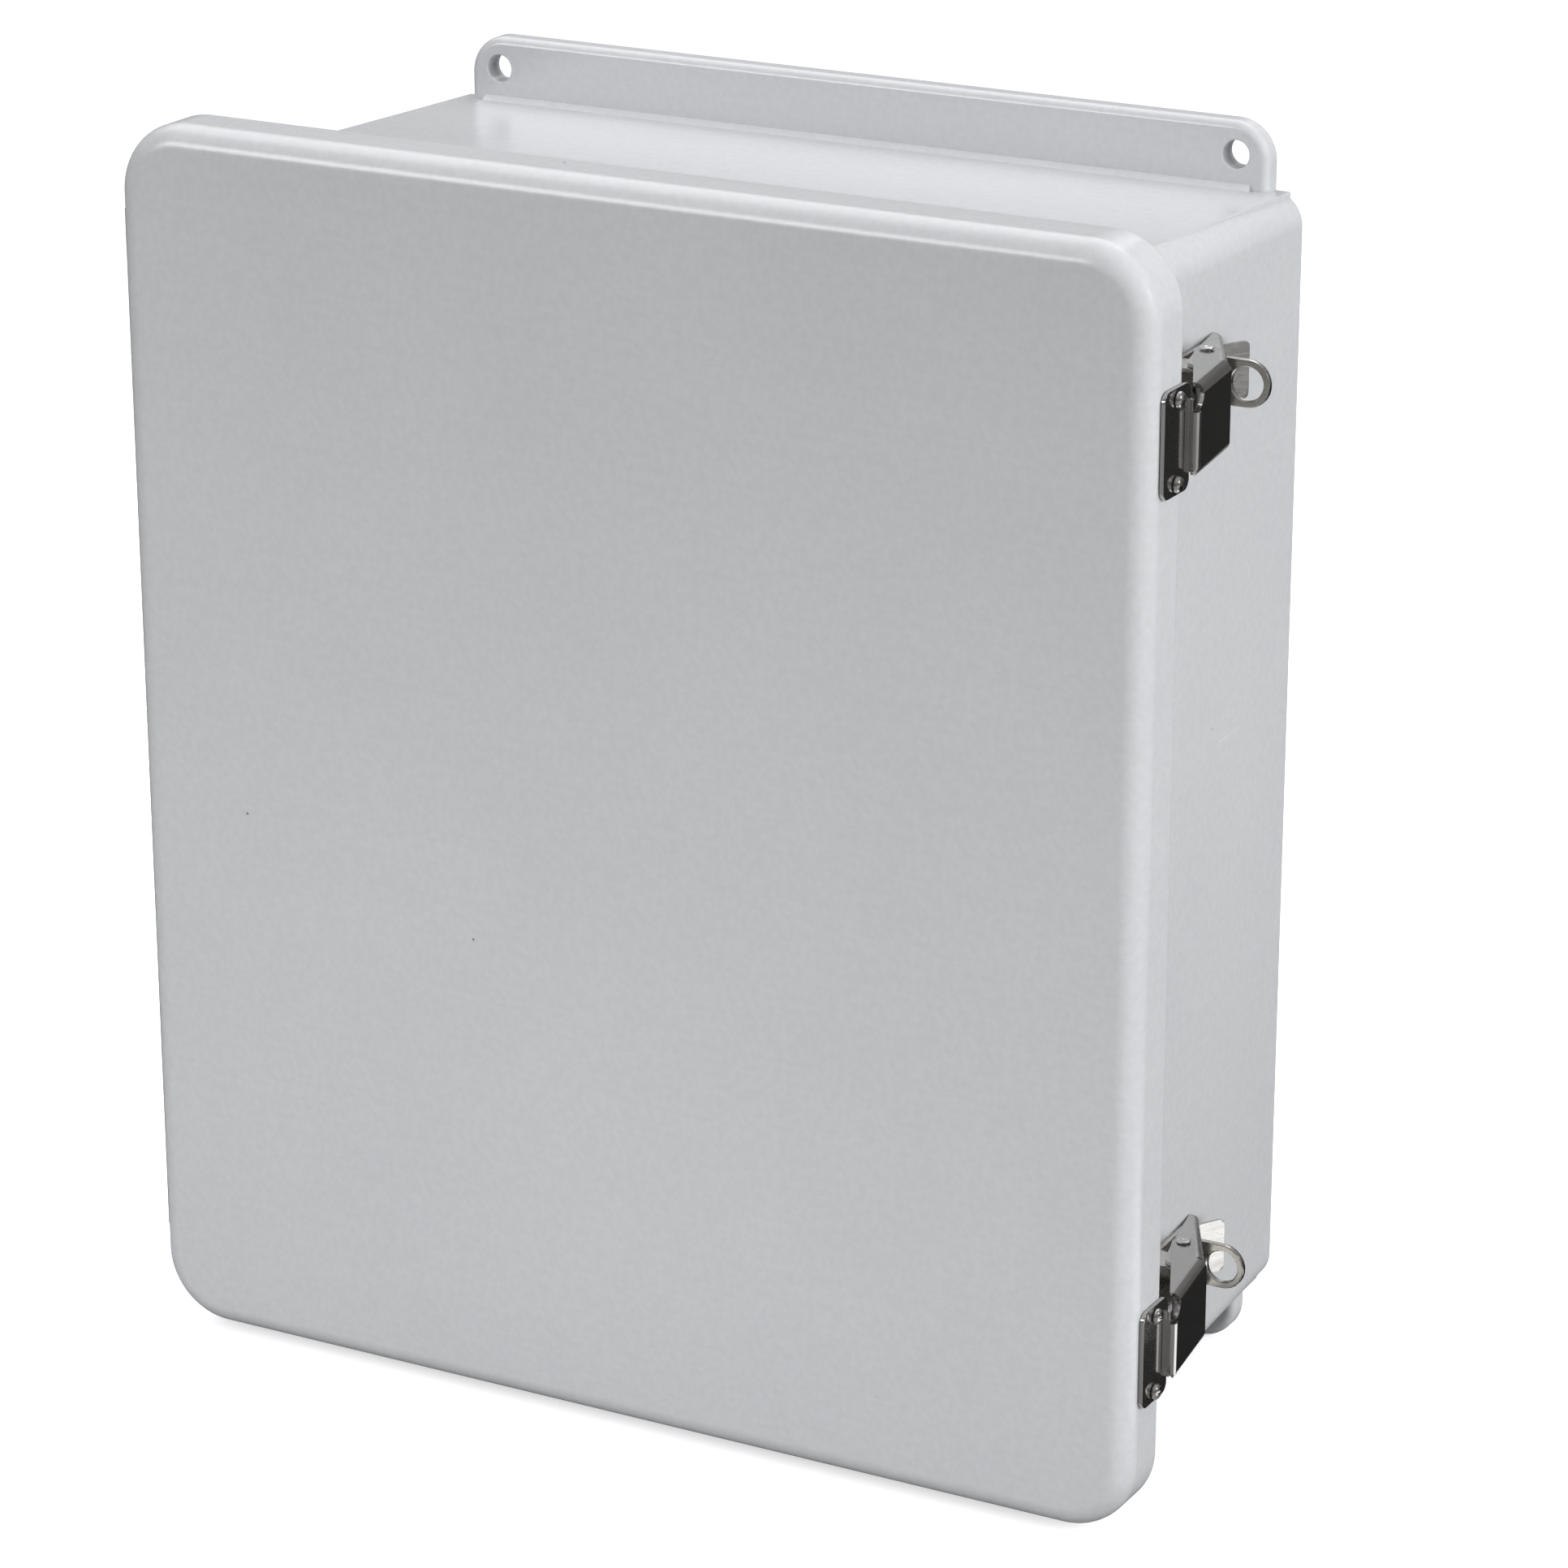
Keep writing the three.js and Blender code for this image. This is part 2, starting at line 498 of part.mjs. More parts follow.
place('enclosure_body', toGeometry(makeBody()), shellGrey);
place('cover', toGeometry(makeCover()), shellGrey);
place('cover_gasket', toGeometry(makeGasket()), foam);
place('hinge_leaf_cover', toGeometry(makeCoverLeaf()), steel);
place('hinge_leaf_body', toGeometry(makeBodyLeaf()), steel);
place('hinge_pin', toGeometry(barZ(
  HINGE.x, behind(HINGE.behind), HINGE.pin, -HINGE.length / 2, HINGE.length / 2, ROUND)), hardSteel);

// A fastener's head points along +Z of its own frame: these turns point it along -X, +X, +Y and -Y
const HEAD_LEFT = [0, -Math.PI / 2, 0];
const HEAD_RIGHT = [0, Math.PI / 2, 0];
const HEAD_BACK = [-Math.PI / 2, 0, 0];
const HEAD_FRONT = [Math.PI / 2, 0, 0];

const coverLeafX = -COVER.width / 2 - 2 * GAP - HINGE.sheet;
const bodyRivetY = BODY_LEAF_Y + HINGE.sheet + GAP;
hingeRivetZ.forEach((z, i) => {
  const coverRivet = fastenerGeometry({ ...RIVET, grip: HINGE.sheet + COVER.wall + 3 * GAP });
  const bodyGrip = bodyRivetY - RIM_BACK_Y + BODY.rimThick + GAP;
  const bodyRivet = fastenerGeometry({ ...RIVET, grip: bodyGrip });
  const coverAt = [coverLeafX, behind(HINGE.coverRivetBehind), z];
  const bodyAt = [HINGE.bodyRivetX, bodyRivetY, z];
  place(`hinge_rivet_cover_${i + 1}`, coverRivet, hardSteel, coverAt, HEAD_LEFT);
  place(`hinge_rivet_body_${i + 1}`, bodyRivet, hardSteel, bodyAt, HEAD_BACK);
});

for (const [name, z] of [['upper', LATCH_Z], ['lower', -LATCH_Z]]) {
  const at = [0, 0, z];
  place(`${name}_keeper`, toGeometry(makeKeeper()), steel, at);
  place(`${name}_latch_hook`, toGeometry(makeHook()), steel, at);
  place(`${name}_latch_lever`, toGeometry(makeLever()), steel, at);
  place(`${name}_latch_base`, toGeometry(makeBase()), steel, at);
  place(`${name}_lever_pin`, toGeometry(makePin(LEVER_PIVOT, LEVER.half)), hardSteel, at);
  place(`${name}_hook_pin`, toGeometry(makeHeadedPin(HOOK_PIVOT, HOOK.half + GAP)), hardSteel, at);
  const screwX = COVER.width / 2 + 2 * GAP + SHEET;
  [-1, 1].forEach((up, i) => {
    const position = [screwX, behind(KEEPER.screwBehind), z + up * KEEPER.screwZ];
    place(`${name}_keeper_screw_${i + 1}`, fastenerGeometry(PAN_SCREW), hardSteel, position, HEAD_RIGHT);
  });
  BASE.rivets.forEach((distance, i) => {
    const grip = BASE.sheet + BODY.wall + 3 * GAP;
    const position = [wallX(distance) + 2 * GAP + BASE.sheet, behind(distance), z];
    const rivet = fastenerGeometry({ ...RIVET, grip });
    place(`${name}_base_rivet_${i + 1}`, rivet, hardSteel, position, HEAD_RIGHT);
  });
}

place('back_panel', toGeometry(makePanel()), panelWhite);
const panelFront = -BODY.backWall - BOSS.length - 2 * GAP - PANEL.thick;
panelHoles.forEach(([x, z], i) => {
  const insertBack = -BODY.backWall - 2 * GAP;
  place(`panel_insert_${i + 1}`, insertGeometry(), brass, [x, insertBack - INSERT.length, z]);
  place(`panel_screw_${i + 1}`, fastenerGeometry(PANEL_SCREW), hardSteel, [x, panelFront, z], HEAD_FRONT);
});

export default group;
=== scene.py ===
"""Wall-mounted hinged-cover enclosure with two toggle latches: fine meshes and materials around the CAD frame.

Helpers take millimetres and work in the CAD frame: +Z up, -Y towards the viewer, +X on the latch side.
A distance "behind" is measured back from the cover's front face.
"""
import json
import math

import bmesh
import bpy
from mathutils import Matrix, Vector
from mathutils.geometry import delaunay_2d_cdt


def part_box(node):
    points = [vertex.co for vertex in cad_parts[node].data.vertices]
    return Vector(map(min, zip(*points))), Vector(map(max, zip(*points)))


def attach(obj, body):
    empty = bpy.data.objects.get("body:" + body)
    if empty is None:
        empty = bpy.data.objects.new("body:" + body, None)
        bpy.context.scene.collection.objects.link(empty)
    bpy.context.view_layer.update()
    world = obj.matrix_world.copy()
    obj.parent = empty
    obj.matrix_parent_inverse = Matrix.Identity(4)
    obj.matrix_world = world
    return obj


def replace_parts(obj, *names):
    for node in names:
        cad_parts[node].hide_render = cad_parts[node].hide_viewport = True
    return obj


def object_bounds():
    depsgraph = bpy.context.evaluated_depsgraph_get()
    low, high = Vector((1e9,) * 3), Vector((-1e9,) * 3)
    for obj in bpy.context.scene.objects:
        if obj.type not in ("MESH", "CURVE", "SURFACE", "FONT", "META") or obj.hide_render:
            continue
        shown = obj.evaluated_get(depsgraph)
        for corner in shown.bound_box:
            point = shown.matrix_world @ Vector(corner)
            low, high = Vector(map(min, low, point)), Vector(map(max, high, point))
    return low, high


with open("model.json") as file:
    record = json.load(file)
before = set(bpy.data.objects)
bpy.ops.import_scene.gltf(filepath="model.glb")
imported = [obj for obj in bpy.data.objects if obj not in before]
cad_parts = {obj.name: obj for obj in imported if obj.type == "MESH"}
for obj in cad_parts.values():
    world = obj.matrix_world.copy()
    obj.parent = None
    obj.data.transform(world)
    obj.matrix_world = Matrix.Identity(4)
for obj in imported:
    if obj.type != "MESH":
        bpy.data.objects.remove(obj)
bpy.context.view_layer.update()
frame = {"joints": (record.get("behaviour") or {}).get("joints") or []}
scene = bpy.context.scene

MM = 0.001

# ---- sizes read from the frame, in millimetres ----


def box_mm(node):
    low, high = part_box(node)
    return low / MM, high / MM


def joint_at(name):
    """Pivot of a joint as (x, y, z) in millimetres."""
    joint = next(j for j in frame["joints"] if j["name"] == name)
    return Vector(joint["pos_m"]) / MM


COVER_LOW, COVER_HIGH = box_mm("cover")
FRONT_Y = COVER_LOW.y
COVER_WIDTH = COVER_HIGH.x - COVER_LOW.x
COVER_HEIGHT = COVER_HIGH.z - COVER_LOW.z
COVER_DEPTH = COVER_HIGH.y - COVER_LOW.y
BODY_LOW, BODY_HIGH = box_mm("enclosure_body")
FLANGE_HEIGHT = BODY_HIGH.z - BODY_LOW.z
SEAL_Y = BODY_LOW.y
PANEL_LOW, PANEL_HIGH = box_mm("back_panel")
GASKET_LOW, GASKET_HIGH = box_mm("cover_gasket")
HINGE_PIN = joint_at("cover_hinge")
LEVER_PIVOT = joint_at("upper_lever_pivot")
HOOK_PIVOT = joint_at("upper_hook_pivot")
LATCH_Z = LEVER_PIVOT.z


def behind(distance):
    """Y of a point that lies this far behind the cover's front face."""
    return FRONT_Y + distance


# ---- fixed details, in millimetres ----
COVER_WALL = 3.8
COVER_CORNER = 22
COVER_EDGE = 7
BODY_BACK = (292.6, 350.5)
BODY_FRONT = (303.0, 360.9)
BODY_CORNER = 10
BODY_WALL = 3.8
BACK_WALL = 4
FLAT_HALF_WIDTH = 142
RIM = dict(width=330.8, height=377.2, corner=18, thick=5)
RIM_BACK_Y = behind(19.8)
FLANGE = dict(width=274.9, thick=7, corner=12, edge=2.6)
FLANGE_HOLES = [(sx * 127.0, sz * 186.0) for sx in (-1, 1) for sz in (-1, 1)]
FLANGE_HOLE_RADIUS = 4.3
LEDGE = dict(half_width=132, depth=2.4, rise=2.3, step=0.45)
PANEL_HOLES = [(sx * 127.0, sz * 150.8) for sx in (-1, 1) for sz in (-1, 1)]
BASE_RIVETS = (49.5, 72)
HINGE_RIVET_Z = [75 * (i - 2) for i in range(5)]
SHEET = 1.2


def wall_x(distance):
    """Half width of the body's outside at a distance behind the front."""
    along = behind(distance) / SEAL_Y
    return (BODY_BACK[0] + (BODY_FRONT[0] - BODY_BACK[0]) * along) / 2


# ---- mesh helpers ----
def link(name, bm):
    bmesh.ops.recalc_face_normals(bm, faces=bm.faces)
    for vertex in bm.verts:
        vertex.co *= MM
    mesh = bpy.data.meshes.new(name)
    bm.to_mesh(mesh)
    bm.free()
    obj = bpy.data.objects.new(name, mesh)
    scene.collection.objects.link(obj)
    return obj


def loft(rings):
    """Closed skin over rings of equal point counts, with a flat cap at each end."""
    bm = bmesh.new()
    rows = [[bm.verts.new(p) for p in ring] for ring in rings]
    count = len(rows[0])
    for low, high in zip(rows, rows[1:]):
        for i in range(count):
            j = (i + 1) % count
            bm.faces.new((low[i], low[j], high[j], high[i]))
    bm.faces.new(rows[0])
    bm.faces.new(rows[-1])
    return bm


def ring_loft(rings):
    """Skin over rings that closes on itself, for a hollow such as a gasket."""
    bm = bmesh.new()
    rows = [[bm.verts.new(p) for p in ring] for ring in rings]
    count = len(rows[0])
    for k, low in enumerate(rows):
        high = rows[(k + 1) % len(rows)]
        for i in range(count):
            j = (i + 1) % count
            bm.faces.new((low[i], low[j], high[j], high[i]))
    return bm


def rounded_outline(width, height, radius, steps=12):
    """Points of a rounded rectangle, anticlockwise from the right-hand side's top."""
    radius = max(radius, 0.05)
    points = []
    for quarter in range(4):
        sx = 1 if quarter in (0, 3) else -1
        sz = 1 if quarter in (0, 1) else -1
        cx = sx * (width / 2 - radius)
        cz = sz * (height / 2 - radius)
        for i in range(steps + 1):
            angle = (quarter + i / steps) * math.pi / 2
            points.append((cx + radius * math.cos(angle), cz + radius * math.sin(angle)))
    return points


def outline_at(y, width, height, radius, steps=12):
    return [Vector((x, y, z)) for x, z in rounded_outline(width, height, radius, steps)]


def arc(cx, cy, radius, start, end, steps):
    """Points of an arc, angles in degrees."""
    angles = [math.radians(start + (end - start) * i / steps) for i in range(steps + 1)]
    return [(cx + radius * math.cos(a), cy + radius * math.sin(a)) for a in angles]


def boolean(obj, tools, operation):
    """Joins or cuts obj with each tool, then removes the tools."""
    for tool in tools:
        modifier = obj.modifiers.new(operation.lower(), "BOOLEAN")
        modifier.operation = operation
        modifier.solver = "EXACT"
        modifier.object = tool
    bake(obj)
    for tool in tools:
        bpy.data.objects.remove(tool)
    return obj


def bake(obj):
    """Applies all of obj's modifiers to its mesh."""
    graph = bpy.context.evaluated_depsgraph_get()
    mesh = bpy.data.meshes.new_from_object(obj.evaluated_get(graph))
    old = obj.data
    obj.modifiers.clear()
    obj.data = mesh
    bpy.data.meshes.remove(old)


def finish_surface(obj, bevel=0, segments=2, smooth_angle=32):
    """Rounds sharp edges, then shades smooth across the shallow ones."""
    if bevel:
        modifier = obj.modifiers.new("bevel", "BEVEL")
        modifier.width = bevel * MM
        modifier.segments = segments
        modifier.limit_method = "ANGLE"
        modifier.angle_limit = math.radians(35)
        modifier.harden_normals = False
        bake(obj)
    for polygon in obj.data.polygons:
        polygon.use_smooth = True
    obj.data.set_sharp_from_angle(angle=math.radians(smooth_angle))
    weighted = obj.modifiers.new("weighted", "WEIGHTED_NORMAL")
    weighted.keep_sharp = True
    weighted.weight = 60
    bake(obj)
    return obj


def lathe(profile, steps=40):
    """Solid turned about +Z from (radius, height) points that start and end on the axis."""
    bm = bmesh.new()
    low = bm.verts.new((0, 0, profile[0][1]))
    high = bm.verts.new((0, 0, profile[-1][1]))
    rows = []
    for radius, height in profile[1:-1]:
        angles = [2 * math.pi * i / steps for i in range(steps)]
        rows.append([bm.verts.new((radius * math.cos(a), radius * math.sin(a), height)) for a in angles])
    for i in range(steps):
        j = (i + 1) % steps
        bm.faces.new((low, rows[0][j], rows[0][i]))
        bm.faces.new((high, rows[-1][i], rows[-1][j]))
        for lower, upper in zip(rows, rows[1:]):
            bm.faces.new((lower[i], lower[j], upper[j], upper[i]))
    return bm


def bar(name, start, end, radius, steps=48):
    """Plain round tool or pin between two points."""
    start, end = Vector(start), Vector(end)
    length = (end - start).length
    obj = link(name, lathe([(0, 0), (radius, 0), (radius, length), (0, length)], steps))
    turn = (end - start).to_track_quat("Z", "Y").to_matrix().to_4x4()
    obj.data.transform(Matrix.Translation(start * MM) @ turn)
    return obj


def block(name, low, high):
    """Rectangular cutting tool."""
    bm = bmesh.new()
    bmesh.ops.create_cube(bm, size=1)
    low, high = Vector(low), Vector(high)
    for vertex in bm.verts:
        vertex.co = Vector((low[i] + (vertex.co[i] + 0.5) * (high[i] - low[i]) for i in range(3)))
    return link(name, bm)


def prism(name, outline, axis, low, high):
    """Outline of two coordinates run along an axis: 0 takes (y, z), 1 takes (x, z) and 2 takes (x, y)."""
    def point(pair, along):
        values = list(pair)
        values.insert(axis, along)
        return Vector(values)
    return link(name, loft([[point(p, low) for p in outline], [point(p, high) for p in outline]]))


def piece(obj, body, slot, material, *nodes):
    """Gives obj its material, ties it to a body and hides the CAD nodes that it stands for."""
    obj.data.materials.clear()
    obj.data.materials.append(material)
    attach(obj, body)
    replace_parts(obj, *nodes)
    return obj


# ---- material helpers ----
class Nodes:
    """A Principled material with short calls for its node tree."""

    def __init__(self, name):
        self.material = bpy.data.materials.new(name)
        self.material.use_nodes = True
        self.tree = self.material.node_tree
        self.shader = self.tree.nodes["Principled BSDF"]
        self.coords = self.tree.nodes.new("ShaderNodeTexCoord").outputs["Object"]

    def set(self, **values):
        for key, value in values.items():
            self.shader.inputs[key.replace("_", " ").title().replace("Ior", "IOR")].default_value = value

    def node(self, kind, inputs=None, **settings):
        node = self.tree.nodes.new(kind)
        for key, value in settings.items():
            setattr(node, key, value)
        for key, value in (inputs or {}).items():
            if isinstance(value, bpy.types.NodeSocket):
                self.tree.links.new(value, node.inputs[key])
            else:
                node.inputs[key].default_value = value
        return node

    def stretch(self, scale):
        return self.node("ShaderNodeMapping", {"Vector": self.coords, "Scale": scale}).outputs[0]

    def noise(self, scale, detail=3, roughness=0.5, vector=None):
        values = {"Vector": vector or self.coords, "Scale": scale, "Detail": detail, "Roughness": roughness}
        return self.node("ShaderNodeTexNoise", values).outputs["Fac"]

    def remap(self, value, low, high, to_low, to_high):
        values = {"Value": value, "From Min": low, "From Max": high, "To Min": to_low, "To Max": to_high}
        return self.node("ShaderNodeMapRange", values).outputs[0]

    def math(self, operation, a, b):
        return self.node("ShaderNodeMath", {0: a, 1: b}, operation=operation).outputs[0]

    def blend(self, factor, a, b):
        node = self.node("ShaderNodeMix", data_type="RGBA")
        self.tree.links.new(factor, node.inputs["Factor"])
        for socket, value in ((node.inputs[6], a), (node.inputs[7], b)):
            if isinstance(value, bpy.types.NodeSocket):
                self.tree.links.new(value, socket)
            else:
                socket.default_value = (*value, 1)
        return node.outputs[2]

    def bump(self, height, distance, strength=1.0, normal=None):
        values = {"Height": height, "Distance": distance, "Strength": strength}
        if normal:
            values["Normal"] = normal
        return self.node("ShaderNodeBump", values).outputs[0]

    def feed(self, socket, value):
        self.tree.links.new(value, self.shader.inputs[socket])


def shell_material():
    """Cool grey glass-fibre moulding: cloudy colour, rubbed hairlines and a few dark specks."""
    n = Nodes("shell_grey")
    clouds = n.noise(9, 5, 0.6)
    grain = n.noise(420, 2, 0.6)
    hairs = n.noise(90, 3, 0.65, n.stretch((0.06, 0.06, 9.0)))
    shade = n.math("ADD", n.remap(clouds, 0.3, 0.7, 0, 0.7), n.remap(hairs, 0.35, 0.65, 0, 0.3))
    base = n.blend(shade, (0.535, 0.548, 0.566), (0.565, 0.577, 0.594))
    lightly = n.blend(n.remap(grain, 0.35, 0.65, 0, 1), (0.94, 0.94, 0.94), (1.04, 1.04, 1.04))
    tinted = n.node("ShaderNodeMix", data_type="RGBA", blend_type="MULTIPLY")
    tinted.inputs["Factor"].default_value = 0.5
    n.tree.links.new(base, tinted.inputs[6])
    n.tree.links.new(lightly, tinted.inputs[7])
    cells = n.node("ShaderNodeTexVoronoi", {"Vector": n.coords, "Scale": 55.0})
    small = n.remap(cells.outputs["Distance"], 0.022, 0.03, 1, 0)
    rare = n.remap(n.noise(21, 1), 0.60, 0.64, 0, 1)
    speck = n.math("MULTIPLY", small, rare)
    n.feed("Base Color", n.blend(speck, tinted.outputs[2], (0.22, 0.20, 0.18)))
    n.feed("Roughness", n.math("ADD", n.remap(clouds, 0.3, 0.7, 0.22, 0.27), n.remap(hairs, 0.4, 0.7, -0.003, 0.006)))
    fine = n.bump(hairs, 0.000012, 0.5)
    ripple = n.bump(n.noise(34, 3), 0.00012, 0.4, fine)
    n.feed("Normal", n.bump(grain, 0.00003, 0.5, ripple))
    n.set(ior=1.5)
    return n.material


def steel_material(name, color, roughness, scratch, variation=0.05, metallic=1.0):
    """Stainless sheet: brushing, fine pits and patches of duller polish."""
    n = Nodes(name)
    patches = n.noise(60, 4, 0.6)
    dark = tuple(c * (1 - variation) for c in color)
    light = tuple(min(1, c * (1 + variation)) for c in color)
    n.feed("Base Color", n.blend(n.remap(patches, 0.3, 0.7, 0, 1), dark, light))
    brushing = n.noise(260, 4, 0.7, n.stretch((0.35, 0.35, 7.0)))
    pits = n.node("ShaderNodeTexVoronoi", {"Vector": n.coords, "Scale": 900.0}).outputs["Distance"]
    spread = n.remap(brushing, 0.3, 0.7, roughness * 0.75, roughness * 1.3)
    n.feed("Roughness", n.math("ADD", spread, n.remap(patches, 0.45, 0.75, 0, roughness * 0.4)))
    brushed = n.bump(brushing, 0.00002, scratch)
    n.feed("Normal", n.bump(n.remap(pits, 0.0, 0.12, 0, 1), 0.00002, scratch, brushed))
    n.set(metallic=metallic)
    return n.material


def foam_material():
    """Black closed-cell foam rubber."""
    n = Nodes("foam_black")
    cells = n.node("ShaderNodeTexVoronoi", {"Vector": n.coords, "Scale": 1400.0}).outputs["Distance"]
    n.feed("Base Color", n.blend(n.noise(60, 3), (0.028, 0.028, 0.030), (0.052, 0.052, 0.055)))
    n.feed("Normal", n.bump(cells, 0.0001, 0.6))
    n.set(roughness=0.88)
    return n.material


def brass_material():
    n = Nodes("brass_turned")
    marks = n.noise(500, 3, 0.6, n.stretch((1.0, 8.0, 1.0)))
    n.feed("Base Color", n.blend(n.noise(120, 3), (0.58, 0.42, 0.19), (0.72, 0.55, 0.27)))
    n.feed("Roughness", n.remap(marks, 0.3, 0.7, 0.24, 0.42))
    n.feed("Normal", n.bump(marks, 0.00003, 0.5))
    n.set(metallic=1.0)
    return n.material


def panel_material():
    """White powder coat with a fine orange peel."""
    n = Nodes("powder_white")
    n.feed("Base Color", n.blend(n.noise(16, 4), (0.72, 0.72, 0.70), (0.79, 0.79, 0.77)))
    n.feed("Roughness", n.remap(n.noise(50, 3), 0.3, 0.7, 0.40, 0.52))
    n.feed("Normal", n.bump(n.noise(1100, 2), 0.00004, 0.5))
    return n.material


SHELL = shell_material()
MIRROR = steel_material("steel_mirror", (0.50, 0.49, 0.475), 0.10, 0.25, metallic=0.965)
SATIN = steel_material("steel_satin", (0.60, 0.59, 0.57), 0.26, 0.6)
WARM = steel_material("steel_warm", (0.66, 0.635, 0.60), 0.24, 0.5)
FASTENER = steel_material("steel_fastener", (0.66, 0.65, 0.63), 0.22, 0.4)
FOAM = foam_material()
BRASS = brass_material()
PANEL_PAINT = panel_material()


# ---- cover ----
def cover_profile():
    """(inset, distance behind the front) from the outside of the front face round to the inside panel."""
    rear, inner = 0.7, 0.5
    depth = COVER_DEPTH
    edge = [(COVER_EDGE - x, COVER_EDGE - y) for x, y in arc(0, 0, COVER_EDGE, 90, 0, 12)]
    rear_round = [(rear - x, depth - rear + y) for x, y in arc(0, 0, rear, 0, 90, 4)]
    lip_round = [
        (COVER_WALL - inner + x, depth - inner + y) for x, y in arc(0, 0, inner, 90, 0, 3)]
    fillet = [(COVER_WALL + 1.5 - x, COVER_WALL + 1.5 - y) for x, y in arc(0, 0, 1.5, 0, 90, 4)]
    return edge + rear_round + lip_round + fillet


def build_cover():
    rings = []
    for inset, distance in cover_profile():
        rings.append(outline_at(
            behind(distance), COVER_WIDTH - 2 * inset, COVER_HEIGHT - 2 * inset, COVER_CORNER - inset, 20))
    obj = link("cover_shell", loft(rings))
    tools = []
    for side in (1, -1):
        for up in (1, -1):
            z = side * LATCH_Z + up * 12
            tools.append(bar("cut", (160, behind(14), z), (175, behind(14), z), 1.7, 24))
    for z in HINGE_RIVET_Z:
        tools.append(bar("cut", (-175, behind(12), z), (-160, behind(12), z), 2, 24))
    boolean(obj, tools, "DIFFERENCE")
    finish_surface(obj)
    return piece(obj, "cover_assembly", "shell", SHELL, "cover")


# ---- body ----
def body_ring(y, grow=0.0, flats=True, steps=12):
    """Outline of the tapered body at a depth, where the flat top and bottom walls step down to round corners."""
    along = y / SEAL_Y
    half_w = (BODY_BACK[0] + (BODY_FRONT[0] - BODY_BACK[0]) * along) / 2 + grow
    half_h = (BODY_BACK[1] + (BODY_FRONT[1] - BODY_BACK[1]) * along) / 2 + grow
    radius = BODY_CORNER + grow
    cx, cz = half_w - radius, half_h - radius
    quarter = []
    if flats:
        reach = min(FLAT_HALF_WIDTH - cx, radius * 0.98)
        start = math.acos(max(0.0, reach / radius)) if reach > 0 else math.pi / 2
        foot = cz + radius * math.sin(start)
        drop = half_h - foot
        soft = min(0.35, drop * 0.45)
        for i in range(steps + 1):
            angle = start * i / steps
            quarter.append((cx + radius * math.cos(angle), cz + radius * math.sin(angle)))
        quarter += [(FLAT_HALF_WIDTH, half_h - soft), (FLAT_HALF_WIDTH - soft * 0.3, half_h - soft * 0.3),
                    (FLAT_HALF_WIDTH - soft, half_h)]
    else:
        quarter = [(cx + a, cz + b) for a, b in arc(0, 0, radius, 0, 90, steps)]
    mirrored = [(-x, z) for x, z in reversed(quarter)]
    upper = quarter + mirrored
    lower = [(x, -z) for x, z in reversed(upper)]
    return [Vector((x, y, z)) for x, z in upper + lower]


def flange_plate():
    edge = FLANGE["edge"]
    rings = [outline_at(0, FLANGE["width"] - 0.8, FLANGE_HEIGHT - 0.8, FLANGE["corner"] - 0.4, 16),
             outline_at(-0.4, FLANGE["width"], FLANGE_HEIGHT, FLANGE["corner"], 16)]
    for x, y in arc(0, 0, edge, 0, 90, 8):
        inset = edge - x
        rings.append(outline_at(
            -(FLANGE["thick"] - edge + y), FLANGE["width"] - 2 * inset, FLANGE_HEIGHT - 2 * inset,
            FLANGE["corner"] - inset, 16))
    return link("flange_plate", loft(rings))


def flange_root(side):
    """Step and fillet that join a flange to the top or bottom wall, as (y, z) run along X."""
    wall_back = BODY_BACK[1] / 2
    slope = (BODY_FRONT[1] / 2 - wall_back) / -SEAL_Y
    foot_y = -FLANGE["thick"] - LEDGE["depth"]
    top = wall_back + LEDGE["rise"]
    foot = wall_back - slope * foot_y + 0.35
    outline = [(-FLANGE["thick"] + 1, wall_back - 2), (-FLANGE["thick"] + 1, top),
               (-FLANGE["thick"] - LEDGE["step"], top - 0.1), (-FLANGE["thick"] - LEDGE["step"] - 0.15, top - 0.3),
               (foot_y + 0.1, foot + 0.1), (foot_y, foot)]
    fillet = 7.0
    for i in range(1, 8):
        along = i / 7
        y = foot_y - fillet * along
        outline.append((y, wall_back - slope * y + 0.35 * (1 - along) ** 2 + 0.001))
    last = foot_y - fillet
    outline.append((last, wall_back - 2))
    half = LEDGE["half_width"]
    return prism("root", [(y, side * z) for y, z in outline], 0, -half, half)


